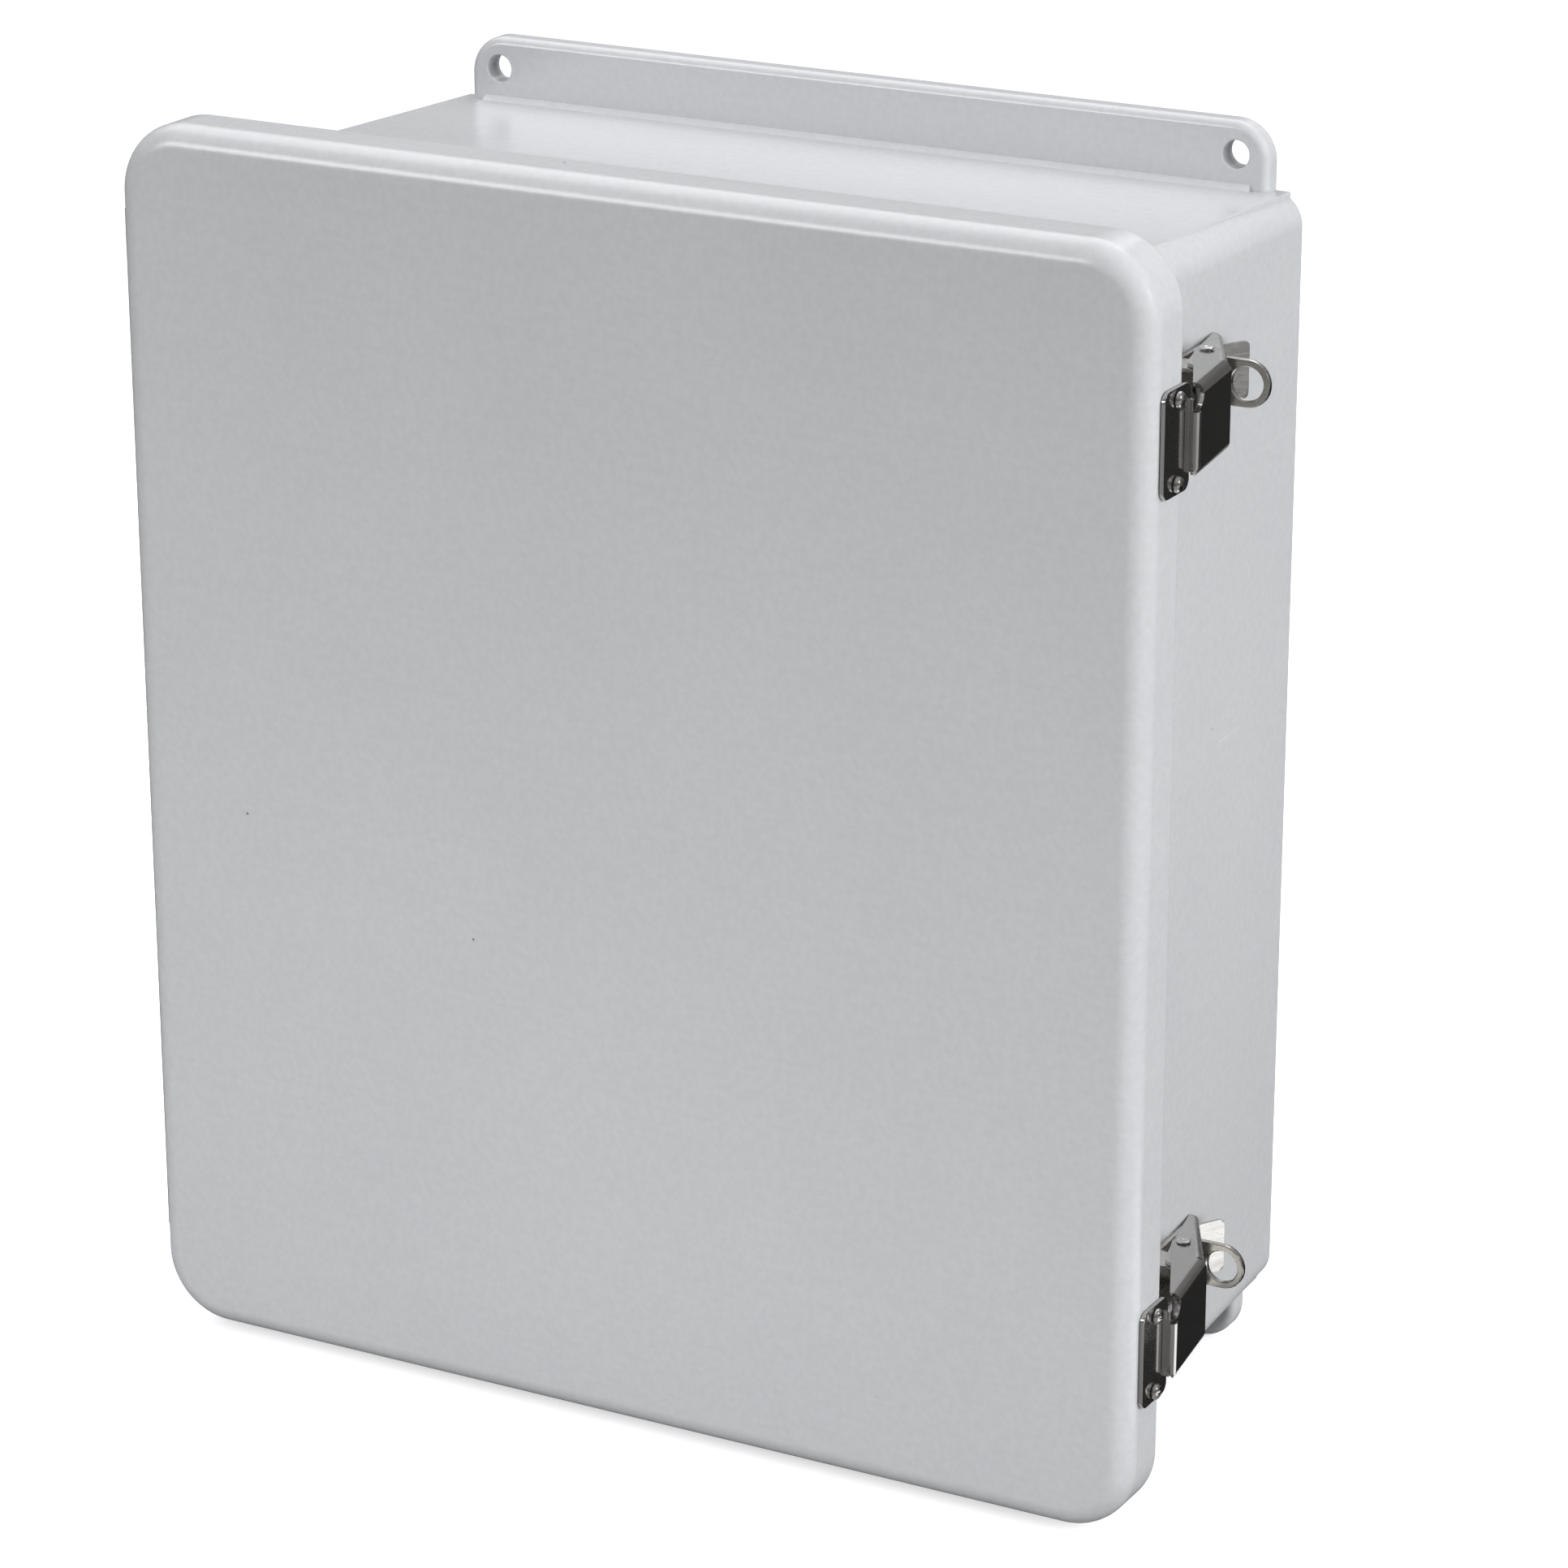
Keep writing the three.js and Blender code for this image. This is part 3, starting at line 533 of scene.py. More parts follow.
def build_body():
    stations = [0, -0.6, -40, -80, -120, SEAL_Y + 0.4, SEAL_Y]
    rings = [body_ring(y, -0.3 if y in (0, SEAL_Y) else 0.0) for y in stations]
    obj = link("body_shell", loft(rings))
    rim_front = RIM_BACK_Y - RIM["thick"]
    rim_rings = []
    for inset, y in ((0.8, rim_front), (0, rim_front + 0.8), (0, RIM_BACK_Y - 0.8), (0.8, RIM_BACK_Y)):
        rim_rings.append(outline_at(y, RIM["width"] - 2 * inset, RIM["height"] - 2 * inset, RIM["corner"] - inset))
    joined = [link("rim", loft(rim_rings)), flange_plate(), flange_root(1), flange_root(-1)]
    boolean(obj, joined, "UNION")
    cavity = link("cavity", loft([
        body_ring(-BACK_WALL, -BODY_WALL, False), body_ring(SEAL_Y - 1, -BODY_WALL, False)]))
    boolean(obj, [cavity], "DIFFERENCE")
    bosses = [bar("boss", (x, -BACK_WALL + 1, z), (x, -BACK_WALL - 10, z), 8) for x, z in PANEL_HOLES]
    boolean(obj, bosses, "UNION")
    tools = [bar("cut", (x, -BACK_WALL - 0.3, z), (x, -BACK_WALL - 12, z), 4.3) for x, z in PANEL_HOLES]
    for x, z in FLANGE_HOLES:
        radius = FLANGE_HOLE_RADIUS
        soft = 0.35
        profile = [(0, -1), (radius, -1), (radius, FLANGE["thick"] - soft),
                   (radius + soft, FLANGE["thick"] + 0.001), (radius + soft, FLANGE["thick"] + 1),
                   (0, FLANGE["thick"] + 1)]
        tool = link("cut", lathe(profile, 56))
        turn = Matrix.Rotation(math.radians(90), 4, "X")
        tool.data.transform(Matrix.Translation(Vector((x, 0, z)) * MM) @ turn)
        tools.append(tool)
    for side in (1, -1):
        for at in BASE_RIVETS:
            tools.append(bar("cut", (130, behind(at), side * LATCH_Z), (170, behind(at), side * LATCH_Z), 2, 24))
    for z in HINGE_RIVET_Z:
        tools.append(bar("cut", (-159.5, rim_front - 1, z), (-159.5, RIM_BACK_Y + 1, z), 2, 24))
    boolean(obj, tools, "DIFFERENCE")
    finish_surface(obj, smooth_angle=28)
    return piece(obj, "enclosure", "shell", SHELL, "enclosure_body")


# ---- gasket and panel ----
def build_gasket():
    """Foam strip with rounded shoulders, pressed into a shallow groove by the sealing edge."""
    middle = (BODY_FRONT[0] - BODY_WALL, BODY_FRONT[1] - BODY_WALL)
    y0, y1 = GASKET_LOW.y, GASKET_HIGH.y
    half, soft = 4.95, 0.8
    section = [(-half, y0)]
    section += [(-half + soft - x, y1 - soft + y) for x, y in arc(0, 0, soft, 0, 90, 4)]
    section += [(-1.4, y1), (0, y1 - 0.5), (1.4, y1)]
    section += [(half - soft + x, y1 - soft + y) for x, y in arc(0, 0, soft, 90, 0, 4)]
    section += [(half, y0)]
    rings = [outline_at(y, middle[0] + 2 * grow, middle[1] + 2 * grow, 6 + grow * 0.9 + 0.6) for grow, y in section]
    obj = link("gasket_foam", ring_loft(rings))
    finish_surface(obj)
    return piece(obj, "cover_assembly", "gasket", FOAM, "cover_gasket")


def build_panel():
    width = PANEL_HIGH.x - PANEL_LOW.x
    height = PANEL_HIGH.z - PANEL_LOW.z
    soft = 0.4
    rings = []
    for inset, y in ((soft, PANEL_HIGH.y), (0, PANEL_HIGH.y - soft), (0, PANEL_LOW.y + soft), (soft, PANEL_LOW.y)):
        rings.append(outline_at(y, width - 2 * inset, height - 2 * inset, 6 - inset))
    obj = link("panel_sheet", loft(rings))
    tools = [bar("cut", (x, PANEL_LOW.y - 1, z), (x, PANEL_HIGH.y + 1, z), 3, 32) for x, z in PANEL_HOLES]
    boolean(obj, tools, "DIFFERENCE")
    finish_surface(obj)
    return piece(obj, "enclosure", "panel_paint", PANEL_PAINT, "back_panel")


# ---- fasteners ----
def domed_head(radius, high, shank, grip, steps=8):
    """(radius, height) profile of a domed head above 0 and a shank below it."""
    soft = 0.25 * high
    dome = [(radius * math.cos(a), soft + (high - soft) * math.sin(a))
            for a in (math.radians(90 * i / steps) for i in range(steps))]
    return [(0, -grip), (shank - 0.15, -grip), (shank, -grip + 0.2), (shank, -0.02), (radius - 0.1, 0),
            (radius, 0.1)] + dome + [(0, high)]


def place_along(obj, position, direction):
    """Turns a fastener whose head points along +Z to face a direction, and moves it into place."""
    turn = Vector(direction).to_track_quat("Z", "Y").to_matrix().to_4x4()
    obj.data.transform(Matrix.Translation(Vector(position) * MM) @ turn)
    return obj


def rivet(name, radius, high, grip, tail=0.0):
    """Blind rivet: a domed head with the dimple its mandrel leaves, and an upset tail."""
    profile = domed_head(radius, high, 1.6, grip)[:-1]
    profile += [(0.75, high - 0.02), (0.6, high - 0.3), (0, high - 0.38)]
    if tail:
        profile = [(0, -grip - 1.6), (2.2, -grip - 1.6), (2.7, -grip - 1.1), (2.7, -grip), (1.6, -grip + 0.05)] + profile[3:]
    return link(name, lathe(profile, 36))


def cross_screw(name, radius, high, shank, grip, recess=1.0):
    """Pan-head screw with a cross recess and a threaded shank."""
    profile = domed_head(radius, high, shank, grip)
    threads = [(0, -grip), (shank * 0.7, -grip)]
    pitch = 0.7
    turns = int((grip - 1) / pitch)
    for i in range(turns):
        z = -grip + 0.4 + i * pitch
        threads += [(shank * 0.82, z), (shank, z + pitch / 2)]
    obj = link(name, lathe(threads + [(shank * 0.82, -0.5)] + profile[3:], 32))
    width, reach = 0.5 * recess, radius * 0.62
    tools = [block("cut", (-reach, -width / 2, high - 0.9 * recess), (reach, width / 2, high + 1)),
             block("cut", (-width / 2, -reach, high - 0.9 * recess), (width / 2, reach, high + 1))]
    boolean(obj, tools, "DIFFERENCE")
    return obj


def build_fasteners():
    for i, z in enumerate(HINGE_RIVET_Z, 1):
        _, high = box_mm(f"hinge_rivet_cover_{i}")
        low, _ = box_mm(f"hinge_rivet_cover_{i}")
        obj = rivet(f"cover_hinge_rivet_{i}", 3, 1.4, high.x - low.x - 3.0, 1)
        place_along(obj, (low.x + 1.4, behind(12), z), (-1, 0, 0))
        finish_surface(obj)
        piece(obj, "cover_assembly", "stainless_fastener", FASTENER, f"hinge_rivet_cover_{i}")
        low, high = box_mm(f"hinge_rivet_body_{i}")
        obj = rivet(f"body_hinge_rivet_{i}", 3, 1.4, high.y - low.y - 3.0, 1)
        place_along(obj, (-159.5, high.y - 1.4, z), (0, 1, 0))
        finish_surface(obj)
        piece(obj, "enclosure", "stainless_fastener", FASTENER, f"hinge_rivet_body_{i}")
    for i, (x, z) in enumerate(PANEL_HOLES, 1):
        low, high = box_mm(f"panel_screw_{i}")
        centre = (low + high) / 2
        obj = cross_screw(f"panel_pan_screw_{i}", 4.6, 2.6, 2.1, high.y - low.y - 2.6, 1.9)
        place_along(obj, (centre.x, low.y + 2.6, centre.z), (0, -1, 0))
        finish_surface(obj)
        piece(obj, "enclosure", "stainless_fastener", FASTENER, f"panel_screw_{i}")
        low, high = box_mm(f"panel_insert_{i}")
        centre = (low + high) / 2
        build_insert(i, centre, low.y, high.y)


def build_insert(index, centre, front, back):
    """Knurled brass insert: ribs round the outside and a plain bore."""
    outer, inner, ribs = 4.0, 2.5, 24
    bm = bmesh.new()
    count = ribs * 2
    rows = []
    stations = [(0, back), (-0.35, back), (-0.35, back - 1), (0, back - 1.3), (0, front + 1.3),
                (-0.35, front + 1), (-0.35, front)]
    for grow, y in stations:
        row = []
        for i in range(count):
            angle = 2 * math.pi * i / count
            radius = outer + min(0, grow) - (0.22 if i % 2 and grow == 0 else 0)
            row.append(bm.verts.new((centre.x + radius * math.cos(angle), y, centre.z + radius * math.sin(angle))))
        rows.append(row)
    for y in (front, back):
        rows.append([bm.verts.new((centre.x + inner * math.cos(2 * math.pi * i / count), y,
                                   centre.z + inner * math.sin(2 * math.pi * i / count))) for i in range(count)])
    for k, low in enumerate(rows):
        high = rows[(k + 1) % len(rows)]
        for i in range(count):
            j = (i + 1) % count
            bm.faces.new((low[i], low[j], high[j], high[i]))
    obj = link(f"panel_brass_insert_{index}", bm)
    finish_surface(obj)
    piece(obj, "enclosure", "brass", BRASS, f"panel_insert_{index}")


# ---- hinge ----
def build_hinge():
    """Continuous hinge: two leaves whose knuckles are rolled round one pin."""
    length, knuckles, gap = 330, 11, 0.5
    pitch = length / knuckles
    outer, bore = 2.3, 1.3
    pin_low, pin_high = box_mm("hinge_pin")
    px, py = HINGE_PIN.x, HINGE_PIN.y
    for own, node, body in ((0, "hinge_leaf_cover", "cover_assembly"), (1, "hinge_leaf_body", "enclosure")):
        rings = []
        for i in range(own, knuckles, 2):
            low = -length / 2 + i * pitch + gap / 2
            high = low + pitch - gap
            tube = [(px + x, py + y) for x, y in arc(0, 0, outer, 0, 360, 32)[:-1]]
            hole = [(px + x, py + y) for x, y in arc(0, 0, bore, 0, 360, 32)[:-1]]
            rings.append(link("tube", ring_loft([
                [Vector((x, y, low)) for x, y in tube], [Vector((x, y, high)) for x, y in tube],
                [Vector((x, y, high)) for x, y in hole], [Vector((x, y, low)) for x, y in hole]])))
            if own == 0:
                x1 = -COVER_WIDTH / 2 - 0.3
                rings.append(block("strap", (x1 - SHEET, behind(18.6), low), (x1, py - bore * 0.6, high)))
            else:
                y0 = RIM_BACK_Y + 0.4
                rings.append(block("strap", (px + bore * 0.6, y0, low), (-168.6, y0 + SHEET, high)))
        half = length / 2
        if own == 0:
            x1 = -COVER_WIDTH / 2 - 0.3
            sheet = block(f"leaf_{own}", (x1 - SHEET, behind(6.5), -half), (x1, behind(19.0), half))
            tools = [bar("cut", (-176, behind(12), z), (-165, behind(12), z), 2, 24) for z in HINGE_RIVET_Z]
        else:
            y0 = RIM_BACK_Y + 0.4
            sheet = block(f"leaf_{own}", (-169.4, y0, -half), (-152.6, y0 + SHEET, half))
            tools = [bar("cut", (-159.5, y0 - 1, z), (-159.5, y0 + 3, z), 2, 24) for z in HINGE_RIVET_Z]
        sheet.name = "hinge_sheet_cover" if own == 0 else "hinge_sheet_body"
        boolean(sheet, rings, "UNION")
        boolean(sheet, tools, "DIFFERENCE")
        finish_surface(sheet, 0.12)
        piece(sheet, body, "stainless_sheet", SATIN, node)
    pin = bar("hinge_rod", (px, py, pin_low.z), (px, py, pin_high.z), 1.1)
    finish_surface(pin, 0.3, 3)
    piece(pin, "enclosure", "stainless_fastener", FASTENER, "hinge_pin")


# ---- bent sheet ----
def inside(point, loop):
    """True where a point lies inside a closed outline."""
    x, y = point
    hit = False
    for (x1, y1), (x2, y2) in zip(loop, loop[1:] + loop[:1]):
        if (y1 > y) != (y2 > y) and x < (x2 - x1) * (y - y1) / (y2 - y1) + x1:
            hit = not hit
    return hit


def bent_sheet(name, outline, holes, place, thick, cuts=()):
    """Flat outline (u, v) with holes, meshed with grid lines at the bends and laid along place(u, v, depth)."""
    points = [Vector(p) for p in outline]
    edges = [(i, (i + 1) % len(points)) for i in range(len(points))]
    for hole in holes:
        start = len(points)
        points += [Vector(p) for p in hole]
        edges += [(start + i, start + (i + 1) % len(hole)) for i in range(len(hole))]
    low = min(p[0] for p in outline) - 1, min(p[1] for p in outline) - 1
    high = max(p[0] for p in outline) + 1, max(p[1] for p in outline) + 1
    for axis, value in cuts:
        start = len(points)
        ends = ((value, low[1]), (value, high[1])) if axis == 0 else ((low[0], value), (high[0], value))
        points += [Vector(p) for p in ends]
        edges.append((start, start + 1))
    verts, _, faces, _, _, _ = delaunay_2d_cdt(points, edges, [], 0, 1e-5)
    kept = []
    for face in faces:
        centre = sum((verts[i] for i in face), Vector((0, 0))) / len(face)
        if inside(centre, outline) and not any(inside(centre, hole) for hole in holes):
            kept.append(face)
    bm = bmesh.new()
    used = sorted({i for face in kept for i in face})
    top = {i: bm.verts.new(place(verts[i][0], verts[i][1], 0.0)) for i in used}
    bottom = {i: bm.verts.new(place(verts[i][0], verts[i][1], thick)) for i in used}
    borders = {}
    for face in kept:
        bm.faces.new([top[i] for i in face])
        bm.faces.new([bottom[i] for i in reversed(face)])
        for a, b in zip(face, face[1:] + face[:1]):
            borders[(a, b)] = True
    for a, b in borders:
        if (b, a) not in borders:
            bm.faces.new((top[b], top[a], bottom[a], bottom[b]))
    return link(name, bm)


def channel_place(origin, along, outward, half, bend):
    """Maps a flat blank to a channel: u runs along the web, v across it, and past the bends v runs down the ears."""
    reach = half - bend
    quarter = bend * math.pi / 2

    def place(u, v, depth):
        sign = 1 if v >= 0 else -1
        across = abs(v)
        if across <= reach:
            z, sink = across, depth
        elif across <= reach + quarter:
            angle = (across - reach) / bend
            z = reach + (bend - depth) * math.sin(angle)
            sink = bend - (bend - depth) * math.cos(angle)
        else:
            z = half - depth
            sink = bend + across - reach - quarter
        plan = origin + along * u - outward * sink
        return Vector((plan.x, plan.y, sign * z))
    return place


def channel_cuts(half, bend, steps=5):
    """Grid lines across the two bends."""
    reach = half - bend
    return [(1, sign * (reach + bend * math.pi / 2 * i / steps)) for sign in (1, -1) for i in range(steps + 1)]


def ear_v(half, bend, depth):
    """Across-the-blank distance of a point that lies this deep under the web, on an ear."""
    return half - bend + bend * math.pi / 2 + depth - bend


# ---- latch ----
def plan(x, distance):
    return Vector((x, behind(distance)))


def tangent_run(centre, radius, before, after, steps=10):
    """Arc of a circle between the tangents that come from one point and leave to another, anticlockwise."""
    centre = Vector(centre)

    def touch(point, turn):
        gap = Vector(point) - centre
        angle = math.atan2(gap.y, gap.x) + turn * math.acos(radius / gap.length)
        return angle
    start, end = touch(before, 1), touch(after, -1)
    while end < start:
        end += 2 * math.pi
    return [(centre.x + radius * math.cos(start + (end - start) * i / steps),
             centre.y + radius * math.sin(start + (end - start) * i / steps)) for i in range(steps + 1)]


def circle(centre, radius, steps=28):
    return [(centre[0] + x, centre[1] + y) for x, y in arc(0, 0, radius, 0, 360, steps)[:-1]]


def latch_frame(front, rear):
    """Origin, direction along the web and outward normal of a plate between two plan points."""
    along = (rear - front).normalized()
    outward = Vector((along.y, -along.x))
    return front, along, outward


def to_blank(point, origin, along, outward):
    """(u, depth) of a plan point in a plate's own directions."""
    gap = point - origin
    return gap.dot(along), -gap.dot(outward)


def build_hook(name, z, body):
    """Hook: a bent plate with triangular ears, a rolled front edge and a relief notch."""
    front, rear = plan(173.0, 25.2), plan(169.0, 54.8)
    half, bend, thick = 13.2, 3.0, SHEET
    origin, along, outward = latch_frame(front, rear)
    pivot_u, pivot_depth = to_blank(plan(HOOK_PIVOT.x, HOOK_PIVOT.y - FRONT_Y), origin, along, outward)
    length = (rear - front).length
    pivot_v = ear_v(half, bend, pivot_depth)
    fold_v = half - bend
    curve_v = ear_v(half, bend, bend)
    front_u, rear_u = 3.6, length
    end = 3.6
    ear = tangent_run((pivot_u, pivot_v), end, (rear_u, curve_v), (front_u, curve_v), 14)
    right = [(rear_u, fold_v - 1.5), (rear_u, curve_v + 0.6)] + ear + [(front_u, curve_v + 0.3)]
    notch = [(front_u + 0.3, curve_v - 0.5), (front_u + 0.5, 10.6), (front_u + 0.1, 9.2), (2.7, 7.9), (1.0, 7.0), (-1.6, 6.8)]
    left = [(-1.6, -9.2), (-1.3, -9.9), (-1.0, -11.0), (-0.2, -12.4), (1.4, -13.4), (front_u - 0.2, -14.0),
            (front_u, -curve_v - 0.3)]
    low_ear = [(u, -v) for u, v in reversed(ear)]
    low_right = [(rear_u, -curve_v - 0.6), (rear_u, -fold_v + 1.5)]
    outline = right + notch + left + low_ear + low_right
    holes = [circle((pivot_u, pivot_v), 1.65), circle((pivot_u, -pivot_v), 1.65)]
    place = channel_place(origin, along, outward, half, bend)
    obj = bent_sheet(name, outline, holes, place, thick, channel_cuts(half, bend))
    bead = link("bead", loft([
        [Vector((172.9 + x, behind(22.6) + y, height)) for x, y in
         arc(0, 0, 1.6, -100, 100, 18) + arc(0, 0, 0.6, 100, -100, 10)] for height in (-9.5, 6.8)]))
    boolean(obj, [bead], "UNION")
    obj.data.transform(Matrix.Translation((0, 0, z * MM)))
    finish_surface(obj, 0.16)
    return piece(obj, body, "latch_mirror", MIRROR)


def finger_tab(foot, along, outward, thick):
    """Tab that flares out from the lever's foot behind the padlock eye, with rounded outer corners."""
    root, end = foot - along * 0.6 - outward * 0.3, plan(156.7, 94.6)
    flare = (end - root).normalized()
    rearward = Vector((-flare.y, flare.x)) * thick
    reach, half, corner = (end - root).length, 8.5, 1.8
    outline = [(0, half)] + [(reach - corner + x, up * (half - corner + y)) for up in (1,) for x, y in
                             reversed(arc(0, 0, corner, 0, 90, 6))]
    outline += [(u, -v) for u, v in reversed(outline)]

    def place(u, v, depth):
        spot = root + flare * u + rearward * (depth / thick)
        return Vector((spot.x, spot.y, v))
    return bent_sheet("tab", outline, [], place, thick)


def build_lever(name, z, body):
    """Lever: a sloping plate with a slot for the padlock eye, and ears that carry both pivots."""
    top, foot = plan(166.5, 58.7), plan(151.6, 86.8)
    half, bend, thick = 11.9, 2.4, 1.0
    origin, along, outward = latch_frame(top, foot)
    length = (foot - top).length
    p0 = to_blank(plan(LEVER_PIVOT.x, LEVER_PIVOT.y - FRONT_Y), origin, along, outward)
    p1 = to_blank(plan(HOOK_PIVOT.x, HOOK_PIVOT.y - FRONT_Y), origin, along, outward)
    v0, v1 = ear_v(half, bend, p0[1]), ear_v(half, bend, p1[1])
    curve_v = ear_v(half, bend, bend)
    ear = tangent_run((p1[0], v1), 3.8, (length, curve_v), (p0[0], v0 + 3.9), 10)
    ear += tangent_run((p0[0], v0), 3.9, (p1[0], v1 + 3.7), (0.4, curve_v), 10)
    right = [(length, half - bend - 1.5), (length, curve_v + 0.5)] + ear + [(0.4, curve_v), (0, half - bend - 1.5)]
    mirrored = [(u, -v) for u, v in reversed(right)]
    slot_u = [to_blank(plan(158, at), origin, along, outward)[0] for at in (75.2, 84.6)]
    slot = [(slot_u[0] + x, y) for x, y in arc(1.5, 6.6, 1.5, 180, 90, 4)]
    slot += [(slot_u[1] - x, y) for x, y in reversed(arc(1.5, 6.6, 1.5, 180, 90, 4))]
    slot += [(u, -v) for u, v in reversed(slot)]
    holes = [slot] + [circle((p[0], s * v), 1.65) for p, v in ((p0, v0), (p1, v1)) for s in (1, -1)]
    place = channel_place(origin, along, outward, half, bend)
    obj = bent_sheet(name, right + mirrored, holes, place, thick, channel_cuts(half, bend))
    boolean(obj, [finger_tab(foot, along, outward, thick)], "UNION")
    obj.data.transform(Matrix.Translation((0, 0, z * MM)))
    finish_surface(obj, 0.14)
    return piece(obj, body, "stainless_sheet", SATIN)


def build_base(name, z):
    """Base plate on the side wall, with pivot ears and the flat eye that takes a padlock."""
    half, sheet, front, rear = 10.7, 1.5, 46.0, 85.5
    start = Vector((wall_x(front) + 0.3, behind(front)))
    end = Vector((wall_x(rear) + 0.3, behind(rear)))
    along = (end - start).normalized()
    outward = Vector((-along.y, along.x))
    if outward.x < 0:
        outward = -outward
    length = (end - start).length
    outline = [(x + length / 2, y) for x, y in rounded_outline(length, 2 * half, 3, 6)]
    rivets = [circle(((behind(at) - start.y) / along.y, 0), 2, 24) for at in BASE_RIVETS]

    def place(u, v, depth):
        spot = start + along * u + outward * (sheet - depth)
        return Vector((spot.x, spot.y, v))
    obj = bent_sheet(name, outline, rivets, place, sheet)
    foot = wall_x(LEVER_PIVOT.y - FRONT_Y) + 1.0
    ears = []
    px = LEVER_PIVOT.x
    for low, high in ((half - 1.0, half), (-half, -half + 1.0)):
        shape = [(foot, behind(60)), (foot, behind(48))]
        shape += tangent_run((px, LEVER_PIVOT.y), 3.6, (foot, behind(48)), (foot, behind(60)), 16)
        ears.append(prism("ear", shape, 2, low, high))
    boolean(obj, ears, "UNION")
    boolean(obj, [padlock_eye()], "UNION")
    boolean(obj, [bar("cut", (px, LEVER_PIVOT.y, -20), (px, LEVER_PIVOT.y, 20), 1.65, 28)], "DIFFERENCE")
    obj.data.transform(Matrix.Translation((0, 0, z * MM)))
    finish_surface(obj, 0.12)
    return piece(obj, "enclosure", "stainless_sheet", WARM)


def padlock_eye():
    """Flat ring with straight legs down to the base plate and rounded edges."""
    centre_x, outer, inner, thick, soft = 163.0, 7.1, 5.0, 2.0, 0.45
    foot = wall_x(80) + 0.9

    def outline(grow):
        points = [(centre_x + x, y) for x, y in arc(0, 0, outer + grow, -90, 90, 28)]
        return points + [(foot, outer + grow), (foot, -outer - grow)]
    rings = []
    middle = behind(80)
    for grow, y in ((-soft, -thick / 2), (-soft * 0.3, -thick / 2 + soft * 0.3), (0, -thick / 2 + soft),
                    (0, thick / 2 - soft), (-soft * 0.3, thick / 2 - soft * 0.3), (-soft, thick / 2)):
        rings.append([Vector((x, middle + y, height)) for x, height in outline(grow)])
    obj = link("eye", loft(rings))
    tool = link("cut", lathe([
        (0, -3), (inner + 2.2, -3), (inner + 0.0, -thick / 2 + soft), (inner, thick / 2 - soft),
        (inner + 2.2, 3), (0, 3)], 44))
    tool.data.transform(Matrix.Translation(Vector((centre_x, middle, 0)) * MM) @ Matrix.Rotation(math.pi / 2, 4, "X"))
    return boolean(obj, [tool], "DIFFERENCE")


def build_keeper(name, z):
    """Keeper: a small plate with a lip folded outwards for the hook."""
    x_low = COVER_WIDTH / 2 + 0.3
    front, lip_front = 6.0, 21.4
    rear = lip_front + SHEET
    width = rear - front
    outline = [(x + front + width / 2, y) for x, y in rounded_outline(width, 30.6, 3, 6)]
    holes = [circle((14, up * 12), 1.7, 24) for up in (1, -1)]

    def place(u, v, depth):
        return Vector((x_low + SHEET - depth, behind(u), v))
    obj = bent_sheet(name, outline, holes, place, SHEET)
    lip = block("lip", (x_low + 0.2, behind(lip_front), -10.35), (172.6, behind(rear), 10.35))
    boolean(obj, [lip], "UNION")
    obj.data.transform(Matrix.Translation((0, 0, z * MM)))
    finish_surface(obj, 0.2, 3)
    return piece(obj, "cover_assembly", "latch_mirror", MIRROR)


def build_latch(which, z):
    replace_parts(build_keeper(f"{which}_keeper_plate", z), f"{which}_keeper")
    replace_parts(build_hook(f"{which}_hook_plate", z, f"{which}_hook"), f"{which}_latch_hook")
    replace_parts(build_lever(f"{which}_lever_plate", z, f"{which}_lever"), f"{which}_latch_lever")
    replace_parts(build_base(f"{which}_base_plate", z), f"{which}_latch_base")
    for i in (1, 2):
        low, high = box_mm(f"{which}_keeper_screw_{i}")
        centre = (low + high) / 2
        obj = cross_screw(f"{which}_keeper_pan_screw_{i}", 2.4, 1.9, 1.35, high.x - low.x - 1.9)
        place_along(obj, (high.x - 1.9, centre.y, centre.z), (1, 0, 0))
        finish_surface(obj)
        piece(obj, "cover_assembly", "stainless_fastener", FASTENER, f"{which}_keeper_screw_{i}")
        low, high = box_mm(f"{which}_base_rivet_{i}")
        centre = (low + high) / 2
        obj = rivet(f"{which}_base_dome_rivet_{i}", 3, 1.4, high.x - low.x - 3.0, 1)
        place_along(obj, (high.x - 1.4, centre.y, centre.z), (1, 0, 0))
        finish_surface(obj)
        piece(obj, "enclosure", "stainless_fastener", FASTENER, f"{which}_base_rivet_{i}")
    build_pin(f"{which}_lever_axle", f"{which}_lever_pin", LEVER_PIVOT, z, 0, "enclosure")
    build_pin(f"{which}_hook_axle", f"{which}_hook_pin", HOOK_PIVOT, z, 2.2, f"{which}_lever")


def build_pin(name, node, pivot, z, head, body):
    """Pivot rivet, turned in one piece, with a shallow dimple in each head."""
    low, high = box_mm(node)
    top = high.z - z
    if head:
        neck = top - 0.6
        half = [(1.5, neck), (head - 0.1, neck), (head, neck + 0.15), (head - 0.1, top - 0.15),
                (head - 0.5, top), (0.9, top), (0.6, top - 0.2)]
        profile = [(0, -top + 0.25)] + [(r, -h) for r, h in reversed(half)] + half + [(0, top - 0.25)]
    else:
        profile = [(0, -top), (1.3, -top), (1.5, -top + 0.2), (1.5, top - 0.2), (1.3, top), (0, top)]
    obj = link(name, lathe(profile, 36))
    obj.data.transform(Matrix.Translation(Vector((pivot.x, pivot.y, z)) * MM))
    finish_surface(obj)
    return piece(obj, body, "stainless_fastener", FASTENER, node)


build_cover()
build_body()
build_gasket()
build_panel()
build_fasteners()
build_hinge()
for which, height in (("upper", LATCH_Z), ("lower", -LATCH_Z)):
    build_latch(which, height)


